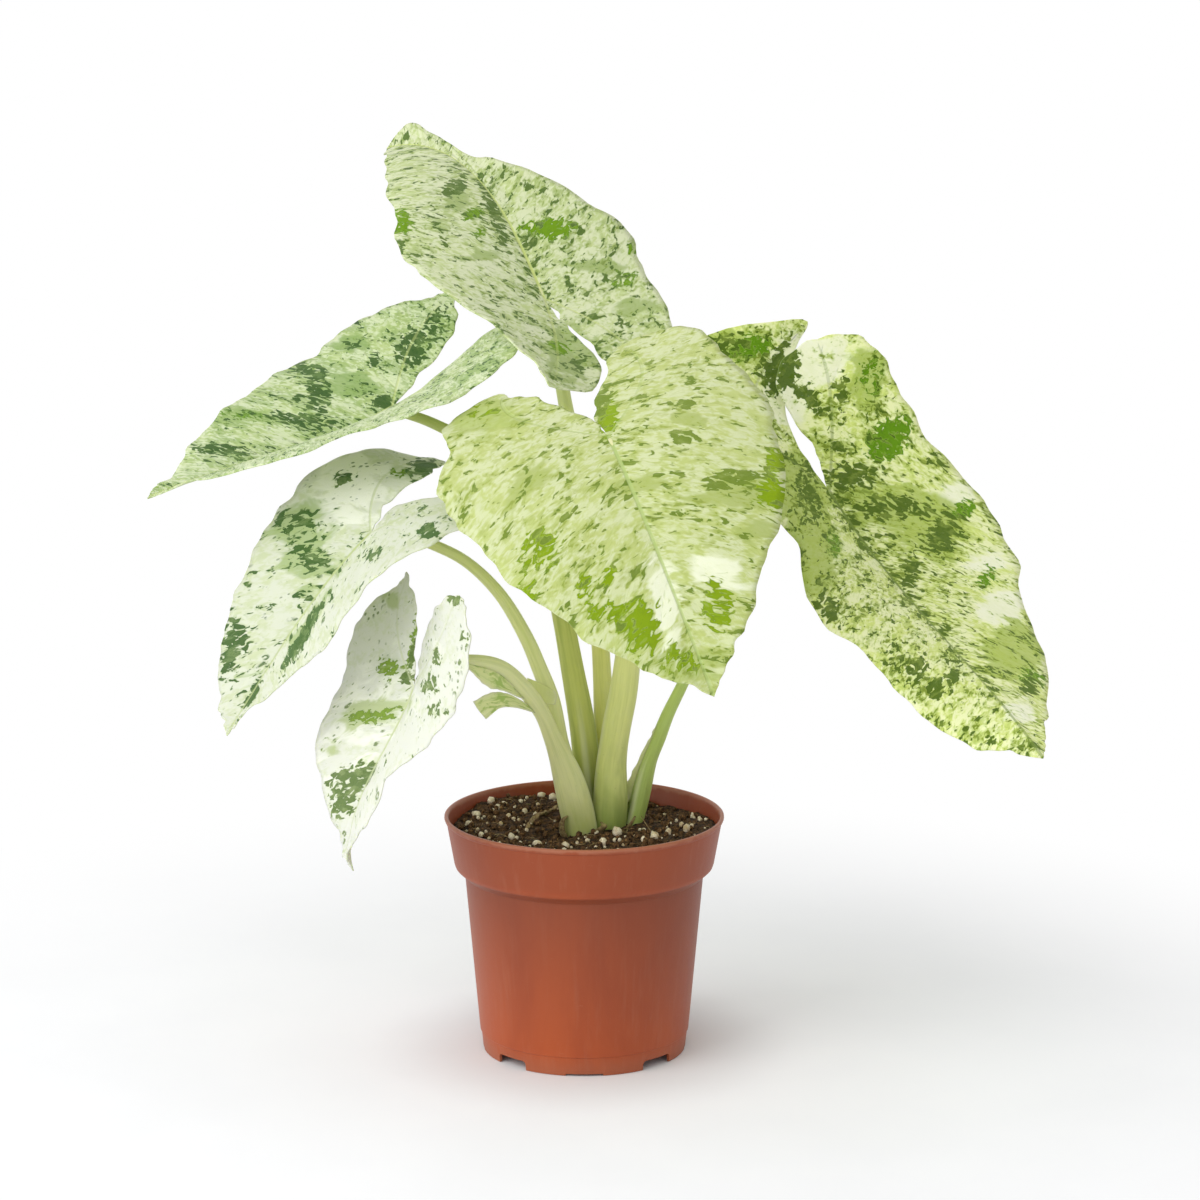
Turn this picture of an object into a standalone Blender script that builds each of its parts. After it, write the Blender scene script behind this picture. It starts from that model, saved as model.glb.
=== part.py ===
"""A variegated alocasia in a round plastic nursery pot.

The pot, the potting soil, the crown, six petioles, six arrow-shaped leaf blades, some perlite
grains and a strip of bark are each one object. Sizes are in millimetres and angles in degrees;
MM turns a size into Blender's metres. The origin is the centre of the pot's underside, +Z is up
and the front of the plant faces -Y.
"""

import math
from dataclasses import dataclass

import bmesh
import bpy
import numpy as np
from mathutils import Matrix, Vector
from mathutils.bvhtree import BVHTree

MM = 0.001
GAP = 0.35  # between two pieces that touch on the real plant

# Pot
POT_HEIGHT = 103.5
RIM_RADIUS = 60.0
BAND_BOTTOM = 82.0  # lower end of the wide band under the rim
NECK_RADIUS = 51.5  # body just under the band
FOOT_RADIUS = 44.5
FOOT_HEIGHT = 8.0
WALL = 1.3
FLOOR_LIFT = 6.0  # the outer ring of the floor stands this far off the table
DISC_RADIUS = 30.0  # the middle of the floor that rests on the table
POT_STEPS = 48
DRAIN_HOLES = 8
DRAIN_RADIUS = 3.5
DRAIN_CIRCLE = 36.5
FOOT_ARCHES = 4
ARCH_RADIUS = 4.65
ARCH_CENTRE = 0.9  # height of the centre of an arch's circle

# Soil and crown
SOIL_TOP = 96.5
CROWN_BOTTOM = 84.0
CROWN_TOP = 94.3
STUMP_BOTTOM = 88.0
STUMP_TOP = 106.0
STUMP_LEAN = 0.25  # how far the stumps close up on the middle of the crown at their bottom
CROWN_MARGIN = 0.6
CROWN_CENTRE = (8.5, 8.0)

# Leaves
BLADE_THICKNESS = 1.1
BLADE_STEPS = 2  # rows between two points of a half outline
BLADE_COLUMNS = 4
STATIONS = (0.0, 0.22, 0.45, 0.66, 0.84, 0.94)  # where half-widths are given, as shares of length
ROWS_TO_TIP = 3 * BLADE_STEPS  # outline rows from the petiole to the tip of a lobe
SHEATH_THICKNESS = 0.9
PETIOLE_STEPS = 2
SEAT_RADIUS = 0.7  # a petiole's upper end, under its blade


@dataclass(frozen=True)
class Half:
    """One half of a blade, in millimetres out from the midrib.

    sinus is how far the inner edge of the lobe stands off the midline at 30 and 75 % of the
    lobe's length, lobe is the lobe's tip as (along the midline, out), and shoulder is the
    half-width at 88 and 50 % of the lobe's length. widths are the half-widths at STATIONS.
    fold is how steeply the half rises from the midrib at lobe, middle and tip, arch is how far
    it then curls down at lobe and middle, and lift raises the lobe's tip.
    """

    sinus: tuple
    lobe: tuple
    shoulder: tuple
    widths: tuple
    fold: tuple
    arch: tuple
    lift: float = 0.0


@dataclass(frozen=True)
class Leaf:
    """One leaf: its blade, and the petiole that carries it.

    junction is where the petiole meets the blade. azimuth, pitch and roll aim the midrib there.
    droop turns the midrib down behind the junction (per length) and ahead of it (linear and
    square), and sway turns it sideways. stations are the petiole's centre line from the crown
    upwards, as (x, y, z, radius).
    """

    name: str
    junction: tuple
    azimuth: float
    pitch: float
    roll: float
    length: float
    droop: tuple
    sway: float
    left: Half
    right: Half
    stations: tuple
    ripple: float = 1.2  # height of the waves along the margin
    waves: float = 3.5


LEAVES = (
    Leaf(
        "top", (-17, 57, 319), 112, -35, -2, 152, (-7, -25, 70), 36,
        Half((-4, -9), (-71, 24), (27, 37), (52, 57, 49, 39, 22, 10), (19, 17, 0), (-31, 36), 3),
        Half((6, 17), (-64, 25), (41, 49), (49, 48, 25, 6, 9, 12), (11, 12, 37), (1, 12), -2),
        (
            (14, 18.5, 106.3, 4.8), (11, 20, 120, 4.8), (9, 22, 140, 4.6), (8, 24, 157, 4.1),
            (7, 27, 174, 3.9), (4, 32, 200, 3.7), (1, 38, 225, 3.5), (-3, 44, 251, 3.3),
            (-8, 50, 274, 3.1), (-12, 55, 297, 2.8),
        ),
    ),
    Leaf(
        "upper_left", (-83, 43, 274), 212, 23, -5, 123, (-54, -46, 40), 4,
        Half((4, 5), (-60, 26), (49, 58), (61, 55, 45, 31, 13, 5), (17, 29, 10), (10, 25)),
        Half((6, 12), (-64, 30), (40, 55), (53, 50, 39, 27, 11, 5), (18, 29, 9), (10, 17)),
        (
            (2.5, 13.5, 106.3, 5.2), (1, 14, 122, 5.6), (-1, 13, 140, 5.6), (-5, 13, 164, 5.0),
            (-9, 15, 186, 4.5), (-15, 20, 211, 3.9), (-28, 27, 236, 3.2), (-45, 34, 257, 2.7),
            (-62, 39, 266, 2.4), (-73, 42, 270, 2.2),
        ),
    ),
    Leaf(
        "middle_left", (-89, -20, 230), 210, 39, -9, 105, (66, 37, -30), 12,
        Half((-3, 14), (-45, 22), (41, 49), (49, 43, 40, 23, 8, 2), (7, 18, 2), (18, 4)),
        Half((7, 12), (-53, 21), (43, 51), (51, 46, 36, 29, 18, 7), (7, 21, 8), (10, 14)),
        (
            (-6.2, 9.5, 106.3, 3.2), (-6, 7, 119, 3.5), (-10, 3, 135, 3.4), (-14, -2, 154, 3.8),
            (-19, -6, 169, 3.4), (-25, -9, 184, 3.1), (-36, -12, 203, 2.7), (-50, -14, 217, 2.4),
            (-65, -16, 225, 2.3), (-79, -17, 230, 2.1),
        ),
    ),
    Leaf(
        "lower_left", (-70, -52, 171), 204, 70, -2, 84, (-43, -70, 110), -12,
        Half((-2, 4), (-43, 22), (32, 40), (41, 37, 25, 23, 8, 2), (-1, 20, 22), (5, 36)),
        Half((5, 10), (-42, 25), (32, 45), (46, 43, 37, 22, 9, 4), (5, 33, 14), (-3, 28)),
        (
            (-4, -1, 106.3, 5.4), (-9, -4, 126, 5.1), (-14, -10, 141, 3.8), (-18, -16, 152, 3.4),
            (-25, -24, 164, 3.6), (-34, -33, 175, 3.1), (-44, -41, 180, 2.5), (-56, -46, 180, 2.1),
        ),
    ),
    Leaf(
        "front", (10, -48, 275), -76, 20, 16, 140, (6, 46, -9), 3,
        Half((-1, 12), (-71, 23), (53, 60), (67, 64, 57, 38, 21, 7), (10, 10, 11), (8, 27), -3),
        Half((4, 21), (-56, 34), (60, 63), (74, 68, 60, 44, 25, 9), (1, 7, 4), (10, 20), 2),
        (
            (11.5, 6, 106.3, 5.8), (12, 6, 124, 5.8), (14, 3, 140, 6.0), (17, -1, 158, 6.0),
            (19, -6, 179, 5.3), (20, -13, 204, 4.2), (18, -22, 227, 3.6), (15, -34, 251, 3.1),
            (12, -43, 265, 2.7),
        ),
    ),
    Leaf(
        "right", (105, 19, 241), -60, 38, 1, 186, (-88, -46, 33), -8,
        Half((2, -8), (-73, 14), (40, 50), (62, 66, 52, 40, 18, 7), (21, 11, -17), (29, 19), 7),
        Half((5, -3), (-81, -18), (54, 56), (50, 47, 60, 42, 28, 12), (-7, 29, -30), (27, 34), -3),
        (
            (23.5, 12, 106.3, 3.9), (25, 12, 113, 3.9), (28, 10, 125, 3.5), (32, 8, 135, 3.2),
            (36, 6, 146, 2.8), (42, 5, 159, 2.5), (53, 8, 183, 2.5), (65, 12, 206, 2.5),
            (75, 16, 225, 2.5), (88, 19, 237, 2.4),
        ),
    ),
)

# The torn sheath of the lower left leaf: rows of points across each flap, from the petiole out.
SHEATH_FLAPS = (
    (
        ((-19.5, -17, 154.5), (-20.3, -18.5, 155.5), (-21, -20, 157)),
        ((-30.6, -29, 170.7), (-33.1, -33, 168.2), (-35.1, -36, 166.3)),
        ((-38.8, -36, 177.4), (-39.6, -40, 173.6), (-40.0, -41, 168.7)),
        ((-47.3, -43, 180.6), (-48.1, -45, 179.4), (-48.5, -46, 177.9)),
    ),
    (
        ((-17.5, -15.5, 150.5), (-18.3, -17, 151.8), (-19.5, -18, 153)),
        ((-29.4, -30, 157.5), (-31.9, -30, 160.5), (-34.0, -31, 164.1)),
        ((-35.2, -34, 158.0), (-39.3, -35, 160.8), (-40.5, -36, 164.4)),
        ((-41.0, -38, 154.3), (-44.3, -39, 158.8), (-46.3, -39, 162.1)),
    ),
)

# Perlite grains on the soil: x, y, mean radius
GRAINS = (
    (-41, 34, 1.7), (-33, 14, 1.6), (-14, 47, 2.1), (-47, 18, 1.9), (-31, -17, 1.8),
    (-20, -27, 2.1), (8, -30, 2.0), (14, -13, 2.2), (30, -19, 1.9), (44, -6, 1.8),
)
# Soil heaps and hollows: x, y, height, radius
SOIL_WAVES = (
    (-34, 36, 3.0, 24), (24, -20, 1.2, 18), (-14, -6, -3.4, 12), (31, 31, -2.4, 13),
    (-42, -8, 1.0, 14), (8, -44, 0.8, 16), (48, 6, 1.2, 15),
)
BARK_PATH = ((-25, 3), (-21, 13), (-16, 22), (-12, 30))

COLOURS = {
    "terracotta_plastic": ((0.42, 0.11, 0.045), 0.55),
    "potting_soil": ((0.045, 0.025, 0.014), 0.95),
    "crown_skin": ((0.33, 0.40, 0.12), 0.55),
    "petiole_skin": ((0.46, 0.52, 0.20), 0.5),
    "leaf_surface": ((0.55, 0.66, 0.33), 0.42),
    "perlite_grain": ((0.75, 0.70, 0.58), 0.9),
    "bark_fibre": ((0.20, 0.13, 0.06), 0.85),
}


def remove_default_objects():
    """Leave the scene with no objects in it."""
    for obj in list(bpy.data.objects):
        bpy.data.objects.remove(obj)


def material(name):
    """The Principled material of that name in COLOURS, made once."""
    if name in bpy.data.materials:
        return bpy.data.materials[name]
    colour, roughness = COLOURS[name]
    made = bpy.data.materials.new(name)
    made.use_nodes = True
    shader = made.node_tree.nodes["Principled BSDF"]
    shader.inputs["Base Color"].default_value = (*colour, 1.0)
    shader.inputs["Roughness"].default_value = roughness
    shader.inputs["Metallic"].default_value = 0.0
    return made


def object_from(bm, name, material_name, sharp=40):
    """Turn a bmesh in millimetres into a smooth-shaded object in metres and link it."""
    bmesh.ops.scale(bm, vec=(MM, MM, MM), verts=bm.verts)
    mesh = bpy.data.meshes.new(name)
    bm.to_mesh(mesh)
    bm.free()
    mesh.shade_smooth()
    mesh.set_sharp_from_angle(angle=math.radians(sharp))
    obj = bpy.data.objects.new(name, mesh)
    obj.data.materials.append(material(material_name))
    bpy.context.scene.collection.objects.link(obj)
    return obj


def cutter_from(bm, name):
    """A hidden helper object for a Boolean."""
    obj = object_from(bm, name, "potting_soil")
    obj.hide_render = True
    obj.display_type = "WIRE"
    return obj


def add_boolean(target, operation, other):
    """Add an exact Boolean of the other object to the target."""
    modifier = target.modifiers.new(f"{operation.lower()} {other.name}", "BOOLEAN")
    modifier.operation = operation
    modifier.solver = "EXACT"
    modifier.object = other


def turned(profile, steps=POT_STEPS):
    """A bmesh spun about Z from (radius, height) points that start and end on the axis."""
    bm = bmesh.new()
    verts = [bm.verts.new((radius, 0, height)) for radius, height in profile]
    edges = [bm.edges.new(pair) for pair in zip(verts, verts[1:])]
    bmesh.ops.spin(
        bm, geom=verts + edges, cent=(0, 0, 0), axis=(0, 0, 1), dvec=(0, 0, 0),
        angle=2 * math.pi, steps=steps,
    )
    bmesh.ops.remove_doubles(bm, verts=bm.verts, dist=1e-4)
    bmesh.ops.recalc_face_normals(bm, faces=bm.faces)
    return bm


def spline(points, steps):
    """Points of a smooth curve through the given points, with that many steps between each two.

    It is a centripetal Catmull-Rom curve, which doesn't overshoot where points lie unevenly.
    """
    points = np.asarray(points, float)
    ends = np.vstack([2 * points[0] - points[1], points, 2 * points[-1] - points[-2]])
    t = np.linspace(0, 1, steps, endpoint=False)[:, None]
    curve = []
    for before, start, end, after in zip(ends, ends[1:], ends[2:], ends[3:]):
        first, middle, last = (
            math.sqrt(np.linalg.norm(b - a))
            for a, b in ((before, start), (start, end), (end, after))
        )
        chord = end - start
        leave = chord + middle * ((start - before) / first - (end - before) / (first + middle))
        arrive = chord + middle * ((after - end) / last - (after - start) / (middle + last))
        curve.append(
            (2 * t**3 - 3 * t**2 + 1) * start
            + (t**3 - 2 * t**2 + t) * leave
            + (3 * t**2 - 2 * t**3) * end
            + (t**3 - t**2) * arrive
        )
    return np.vstack([*curve, points[-1:]])


def smoothstep(x):
    """0 below 0, 1 above 1, with a smooth rise between."""
    x = np.clip(x, 0, 1)
    return x * x * (3 - 2 * x)


def between(s, lobe, middle, tip):
    """The parabola through lobe at s = -0.4, middle at 0.2 and tip at 1."""
    s = np.clip(s, -0.5, 1)
    return (
        lobe * (s - 0.2) * (s - 1) / 0.84
        + middle * (s + 0.4) * (s - 1) / -0.48
        + tip * (s + 0.4) * (s - 0.2) / 1.12
    )


def midrib(leaf, u):
    """Centre, forward, left and upward directions at distances u along the leaf's midline."""

    def directions(along):
        share = along / leaf.length
        behind, linear, square = leaf.droop
        down = np.radians(np.where(share < 0, behind * share, (linear + square * share) * share))
        turn = np.radians(np.where(share > 0, leaf.sway * share**2, 0))
        azimuth, pitch, roll = (math.radians(a) for a in (leaf.azimuth, leaf.pitch, leaf.roll))
        ahead = np.array([
            math.cos(azimuth) * math.cos(pitch), math.sin(azimuth) * math.cos(pitch),
            -math.sin(pitch),
        ])
        level = np.array([-math.sin(azimuth), math.cos(azimuth), 0])
        side = level * math.cos(roll) + np.cross(ahead, level) * math.sin(roll)
        above = np.cross(ahead, side)
        forward = (
            np.outer(np.cos(down) * np.cos(turn), ahead)
            + np.outer(np.cos(down) * np.sin(turn), side)
            - np.outer(np.sin(down), above)
        )
        left = np.outer(-np.sin(turn), ahead) + np.outer(np.cos(turn), side)
        return forward, left, np.cross(forward, left)

    grid = np.linspace(-0.75, 1.05, 361) * leaf.length
    steps = directions(grid)[0]
    walked = np.zeros_like(steps)
    walked[1:] = np.cumsum((steps[1:] + steps[:-1]) / 2 * np.diff(grid)[:, None], axis=0)
    walked -= [np.interp(0, grid, column) for column in walked.T]
    centre = np.stack([np.interp(u, grid, column) for column in walked.T], axis=1)
    return centre + leaf.junction, *directions(u)


def bent(leaf, flat, side, ripple):
    """Places in space of flat (along, out) points of one half; side is +1 left, -1 right."""
    half = leaf.left if side > 0 else leaf.right
    along, out = flat[:, 0], flat[:, 1]
    share = along / leaf.length
    centre, _, left, up = midrib(leaf, along)
    fold = np.radians(between(share, *half.fold))
    arch = half.arch[0] + (half.arch[1] - half.arch[0]) * np.clip((share + 0.4) / 0.6, 0, 1)
    curl = np.radians(arch) / (0.45 * leaf.length)
    curl = np.where(np.abs(curl) < 1e-6, 1e-6, curl)
    reach = (np.sin(fold) - np.sin(fold - curl * np.abs(out))) / curl
    rise = (np.cos(fold - curl * np.abs(out)) - np.cos(fold)) / curl
    across = out < 0  # past the midline, as where one lobe overlaps the other
    reach = np.where(across, out, reach)
    rise = np.where(across, 0, rise)
    rise = rise + half.lift * smoothstep(-share / 0.42) + ripple
    return centre + left * (side * reach)[:, None] + up * rise[:, None]


def outline(leaf, half):
    """Flat (along, out) points of a half's edge, from the petiole round the lobe to the tip."""
    back, out = half.lobe
    points = [(0, 0), (0.3 * back, half.sinus[0]), (0.75 * back, half.sinus[1]), (back, out)]
    points += [(0.88 * back, half.shoulder[0]), (0.5 * back, half.shoulder[1])]
    points += [(at * leaf.length, width) for at, width in zip(STATIONS, half.widths)]
    points += [(leaf.length, 0)]
    return spline(points, BLADE_STEPS)


def lobe_vein(half, steps):
    """Flat points along a lobe's main vein, from the petiole to just short of the lobe's tip."""
    tip = np.array(half.lobe)
    inner = np.interp(0.55, (0.3, 0.75), half.sinus)
    heart = np.array([0.55 * tip[0], 0.65 * inner + 0.35 * half.shoulder[1]])
    end = tip + 0.12 * (heart - tip)
    t = np.linspace(0, 1, steps + 1)[:, None]
    return heart * t * (1 - t) / 0.2475 + end * t * (t - 0.55) / 0.45


def half_grid(leaf, side):
    """Rows of points in space over one half, each row from a main vein out to the margin.

    The rows start on the lobe's vein from the petiole to the lobe's tip, run back along it and
    then follow the midrib.
    """
    half = leaf.left if side > 0 else leaf.right
    margin = outline(leaf, half)
    vein = lobe_vein(half, ROWS_TO_TIP)
    rows = []
    for i, edge in enumerate(margin):
        if i <= 2 * ROWS_TO_TIP:
            root = vein[ROWS_TO_TIP - abs(i - ROWS_TO_TIP)]
        else:
            x = (i - 2 * ROWS_TO_TIP) / (len(margin) - 1 - 2 * ROWS_TO_TIP)
            root = np.array([leaf.length * (x + x**6 * (1 - x)), 0])
        steps = np.linspace(0, 1, BLADE_COLUMNS + 1)
        flat = root + np.outer(steps, edge - root)
        travelled = i / (len(margin) - 1)
        weight = smoothstep((i - ROWS_TO_TIP) / 4) * (1 - smoothstep((travelled - 0.9) / 0.1))
        wave = math.sin(2 * math.pi * leaf.waves * travelled + side)
        rows.append(bent(leaf, flat, side, leaf.ripple * weight * wave * steps**3))
    return rows


def make_blade(leaf):
    """The blade as a thin sheet, both halves joined along the midrib."""
    bm = bmesh.new()
    for side in (1, -1):
        rows = [[bm.verts.new(point) for point in row] for row in half_grid(leaf, side)]
        for near, far in zip(rows, rows[1:]):
            for a, b, c, d in zip(near, near[1:], far[1:], far):
                bm.faces.new((a, b, c, d) if side > 0 else (d, c, b, a))
    bmesh.ops.remove_doubles(bm, verts=bm.verts, dist=0.05)
    bmesh.ops.recalc_face_normals(bm, faces=bm.faces)
    obj = object_from(bm, f"blade_{leaf.name}", "leaf_surface")
    sheet = obj.modifiers.new("thickness", "SOLIDIFY")
    sheet.thickness = BLADE_THICKNESS * MM
    sheet.offset = 0
    return obj


def make_petiole(leaf):
    """The petiole as a tapering tube that ends just under its blade."""
    up = midrib(leaf, np.zeros(1))[3][0]
    arrival = np.subtract(leaf.junction, leaf.stations[-1][:3])
    slant = math.sqrt(1 - (arrival @ up / np.linalg.norm(arrival)) ** 2)
    seat = leaf.junction - (BLADE_THICKNESS / 2 + GAP + SEAT_RADIUS * slant) * up
    path = spline([*leaf.stations, (*seat, SEAT_RADIUS)], PETIOLE_STEPS)
    curve = bpy.data.curves.new(f"petiole_{leaf.name}", "CURVE")
    curve.dimensions = "3D"
    curve.bevel_depth = MM
    curve.bevel_resolution = 4
    curve.use_fill_caps = True
    line = curve.splines.new("POLY")
    line.points.add(len(path) - 1)
    for point, (x, y, z, radius) in zip(line.points, path):
        point.co = (x * MM, y * MM, z * MM, 1)
        point.radius = radius
    guide = bpy.data.objects.new(f"petiole_{leaf.name}_guide", curve)
    bpy.context.scene.collection.objects.link(guide)
    bpy.context.view_layer.update()
    mesh = bpy.data.meshes.new_from_object(guide.evaluated_get(bpy.context.evaluated_depsgraph_get()))
    bpy.data.objects.remove(guide)
    bm = bmesh.new()
    bm.from_mesh(mesh)
    bpy.data.meshes.remove(mesh)
    bmesh.ops.scale(bm, vec=(1 / MM, 1 / MM, 1 / MM), verts=bm.verts)
    bmesh.ops.remove_doubles(bm, verts=bm.verts, dist=1e-3)
    for vert in bm.verts:
        if vert.co.z < STUMP_TOP + 2:
            vert.co.z = STUMP_TOP + GAP  # a level foot over the stump
    bmesh.ops.recalc_face_normals(bm, faces=bm.faces)
    return object_from(bm, f"petiole_{leaf.name}", "petiole_skin")


def make_flap(name, rows):
    """One flap of a torn sheath, as a hidden sheet that a petiole is joined to."""
    across = [spline(row, 2) for row in rows]
    grid = [spline([row[i] for row in across], 2) for i in range(len(across[0]))]
    bm = bmesh.new()
    verts = [[bm.verts.new(point) for point in line] for line in grid]
    for near, far in zip(verts, verts[1:]):
        for a, b, c, d in zip(near, near[1:], far[1:], far):
            bm.faces.new((a, b, c, d))
    bmesh.ops.recalc_face_normals(bm, faces=bm.faces)
    obj = cutter_from(bm, name)
    sheet = obj.modifiers.new("thickness", "SOLIDIFY")
    sheet.thickness = SHEATH_THICKNESS * MM
    sheet.offset = 0
    return obj


def pot_profile():
    """The pot's wall and floor as (radius, height) points, from the axis out, up and back in."""
    neck = BAND_BOTTOM - 4.5
    outer = [
        (0, 0), (DISC_RADIUS, 0), (DISC_RADIUS + 1.5, FLOOR_LIFT), (FOOT_RADIUS - 1.7, FLOOR_LIFT),
        (FOOT_RADIUS - 1.7, 0), (FOOT_RADIUS - 0.4, 0), (FOOT_RADIUS + 0.4, FOOT_HEIGHT),
        (FOOT_RADIUS + 0.8, FOOT_HEIGHT + 0.4), (NECK_RADIUS, neck), (NECK_RADIUS + 0.7, neck + 0.8),
        (NECK_RADIUS + 3.0, neck + 2.7), (NECK_RADIUS + 4.5, BAND_BOTTOM),
        (RIM_RADIUS - 0.8, POT_HEIGHT - 2.3), (RIM_RADIUS, POT_HEIGHT - 1.7),
        (RIM_RADIUS + 0.3, POT_HEIGHT - 0.7), (RIM_RADIUS, POT_HEIGHT),
    ]
    inner = [
        (RIM_RADIUS - 1.3, POT_HEIGHT), (RIM_RADIUS - 1.6, POT_HEIGHT - 0.7),
        (NECK_RADIUS + 3.3, BAND_BOTTOM + 1), (NECK_RADIUS - 0.5, neck + 1.5),
        (NECK_RADIUS - WALL, neck - 0.5), (FOOT_RADIUS - 0.5, FOOT_HEIGHT + 0.6),
        (FOOT_RADIUS - 1.1, FLOOR_LIFT + WALL), (DISC_RADIUS + 0.2, FLOOR_LIFT + WALL),
        (DISC_RADIUS - WALL, WALL), (0, WALL),
    ]
    return outer, inner


def make_pot():
    """The nursery pot, with drain holes in its raised floor ring and arches in its foot."""
    outer, inner = pot_profile()
    pot = object_from(turned(outer + inner), "pot", "terracotta_plastic", sharp=30)

    drains = bmesh.new()
    for i in range(DRAIN_HOLES):
        turn = Matrix.Rotation(2 * math.pi * (i + 0.5) / DRAIN_HOLES, 4, "Z")
        place = turn @ Matrix.Translation((DRAIN_CIRCLE, 0, FLOOR_LIFT + WALL / 2))
        bmesh.ops.create_cone(
            drains, cap_ends=True, segments=12, radius1=DRAIN_RADIUS, radius2=DRAIN_RADIUS,
            depth=3 * WALL, matrix=place,
        )
    add_boolean(pot, "DIFFERENCE", cutter_from(drains, "pot_drain_cutters"))

    arches = bmesh.new()
    for i in range(FOOT_ARCHES):
        turn = Matrix.Rotation(2 * math.pi * (i + 0.5) / FOOT_ARCHES, 4, "Z")
        lay = Matrix.Rotation(math.pi / 2, 4, "Y")
        place = turn @ Matrix.Translation((FOOT_RADIUS, 0, ARCH_CENTRE)) @ lay
        bmesh.ops.create_cone(
            arches, cap_ends=True, segments=20, radius1=ARCH_RADIUS, radius2=ARCH_RADIUS,
            depth=8, matrix=place,
        )
    add_boolean(pot, "DIFFERENCE", cutter_from(arches, "pot_arch_cutters"))
    return pot


def soil_height(x, y):
    """Height of the soil's surface over a place."""
    height = SOIL_TOP
    for at_x, at_y, rise, radius in SOIL_WAVES:
        height += rise * math.exp(-((x - at_x) ** 2 + (y - at_y) ** 2) / radius**2)
    return height


def make_soil():
    """The potting soil, shaped by the inside of the pot, with a well for the crown."""
    _, inner = pot_profile()
    wall = [(r - GAP, z + (GAP if z < 50 else 0)) for r, z in reversed(inner[2:-1])]
    (wide, high), (narrow, low) = inner[1:3]
    flare = (wide - narrow) / (high - low)
    edge = narrow + flare * (SOIL_TOP - low) - GAP
    top = [(r, SOIL_TOP) for r in (edge, 50, 43, 35, 27, 18, 9, 0)]
    bm = turned([(0, WALL + GAP), *wall, *top])
    for vert in bm.verts:
        if vert.co.z < SOIL_TOP - 0.5:
            continue
        out = math.hypot(vert.co.x, vert.co.y)
        vert.co.z = soil_height(vert.co.x, vert.co.y)
        if out > edge - 1:  # the edge follows the flare of the pot's wall
            vert.co.xy *= (edge + flare * (vert.co.z - SOIL_TOP)) / edge
    soil = object_from(bm, "soil", "potting_soil")
    well = cutter_from(crown_block(CROWN_BOTTOM - GAP, SOIL_TOP + 15, GAP), "soil_well")
    add_boolean(soil, "DIFFERENCE", well)
    return soil


def stump_at(leaf, height):
    """Centre and radius of a leaf's stump in the crown at a height."""
    x, y, _, radius = leaf.stations[0]
    lean = STUMP_LEAN * (STUMP_TOP - height) / (STUMP_TOP - STUMP_BOTTOM)
    centre_x, centre_y = CROWN_CENTRE
    return Vector((x + lean * (centre_x - x), y + lean * (centre_y - y), height)), radius


def ring_points(centre, radius, sides=12):
    """Points of a level circle."""
    turns = (2 * math.pi * i / sides for i in range(sides))
    return [centre + Vector((radius * math.cos(a), radius * math.sin(a), 0)) for a in turns]


def crown_block(bottom, top, extra):
    """The block below the petioles: the hull of all the stumps between two heights."""
    bm = bmesh.new()
    for leaf in LEAVES:
        for height in (bottom, top):
            centre, radius = stump_at(leaf, CROWN_TOP)
            centre.z = height
            for point in ring_points(centre, radius + CROWN_MARGIN + extra):
                bm.verts.new(point)
    bmesh.ops.convex_hull(bm, input=bm.verts)
    inside = [vert for vert in bm.verts if not vert.link_faces]
    bmesh.ops.delete(bm, geom=inside, context="VERTS")
    bmesh.ops.dissolve_limit(bm, angle_limit=math.radians(1), verts=bm.verts, edges=bm.edges)
    bmesh.ops.recalc_face_normals(bm, faces=bm.faces)
    return bm


def make_crown():
    """The crown: a block in the soil that carries one stump for each petiole."""
    crown = object_from(crown_block(CROWN_BOTTOM, CROWN_TOP, 0), "crown", "crown_skin")
    for leaf in LEAVES:
        bm = bmesh.new()
        rings = []
        for height in (STUMP_BOTTOM, STUMP_TOP):
            centre, radius = stump_at(leaf, height)
            rings.append([bm.verts.new(point) for point in ring_points(centre, radius)])
        lower, upper = rings
        for i in range(len(lower)):
            j = (i + 1) % len(lower)
            bm.faces.new((lower[i], lower[j], upper[j], upper[i]))
        bm.faces.new(upper)
        bm.faces.new(lower[::-1])
        add_boolean(crown, "UNION", cutter_from(bm, f"stump_{leaf.name}"))
    return crown


def seat_on(bm, ground):
    """Lower a piece in millimetres onto the ground tree, which is in metres, with a small gap."""
    drop = min(
        vert.co.z - ground.ray_cast(vert.co * MM, Vector((0, 0, -1)))[0].z / MM
        for vert in bm.verts
    )
    bmesh.ops.translate(bm, vec=(0, 0, GAP - drop), verts=bm.verts)


def make_grain(number, x, y, radius, ground):
    """One rounded, slightly uneven perlite grain that rests on the soil."""
    bm = bmesh.new()
    bmesh.ops.create_icosphere(bm, subdivisions=1, radius=radius)
    stretch = (1 + 0.15 * math.sin(number), 1 + 0.15 * math.cos(2 * number), 0.8)
    bmesh.ops.scale(bm, vec=stretch, verts=bm.verts)
    bmesh.ops.rotate(bm, matrix=Matrix.Rotation(1.3 * number, 3, "Z"), verts=bm.verts)
    bmesh.ops.translate(bm, vec=(x, y, SOIL_TOP + 20), verts=bm.verts)
    seat_on(bm, ground)
    return object_from(bm, f"perlite_{number:02d}", "perlite_grain")


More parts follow.
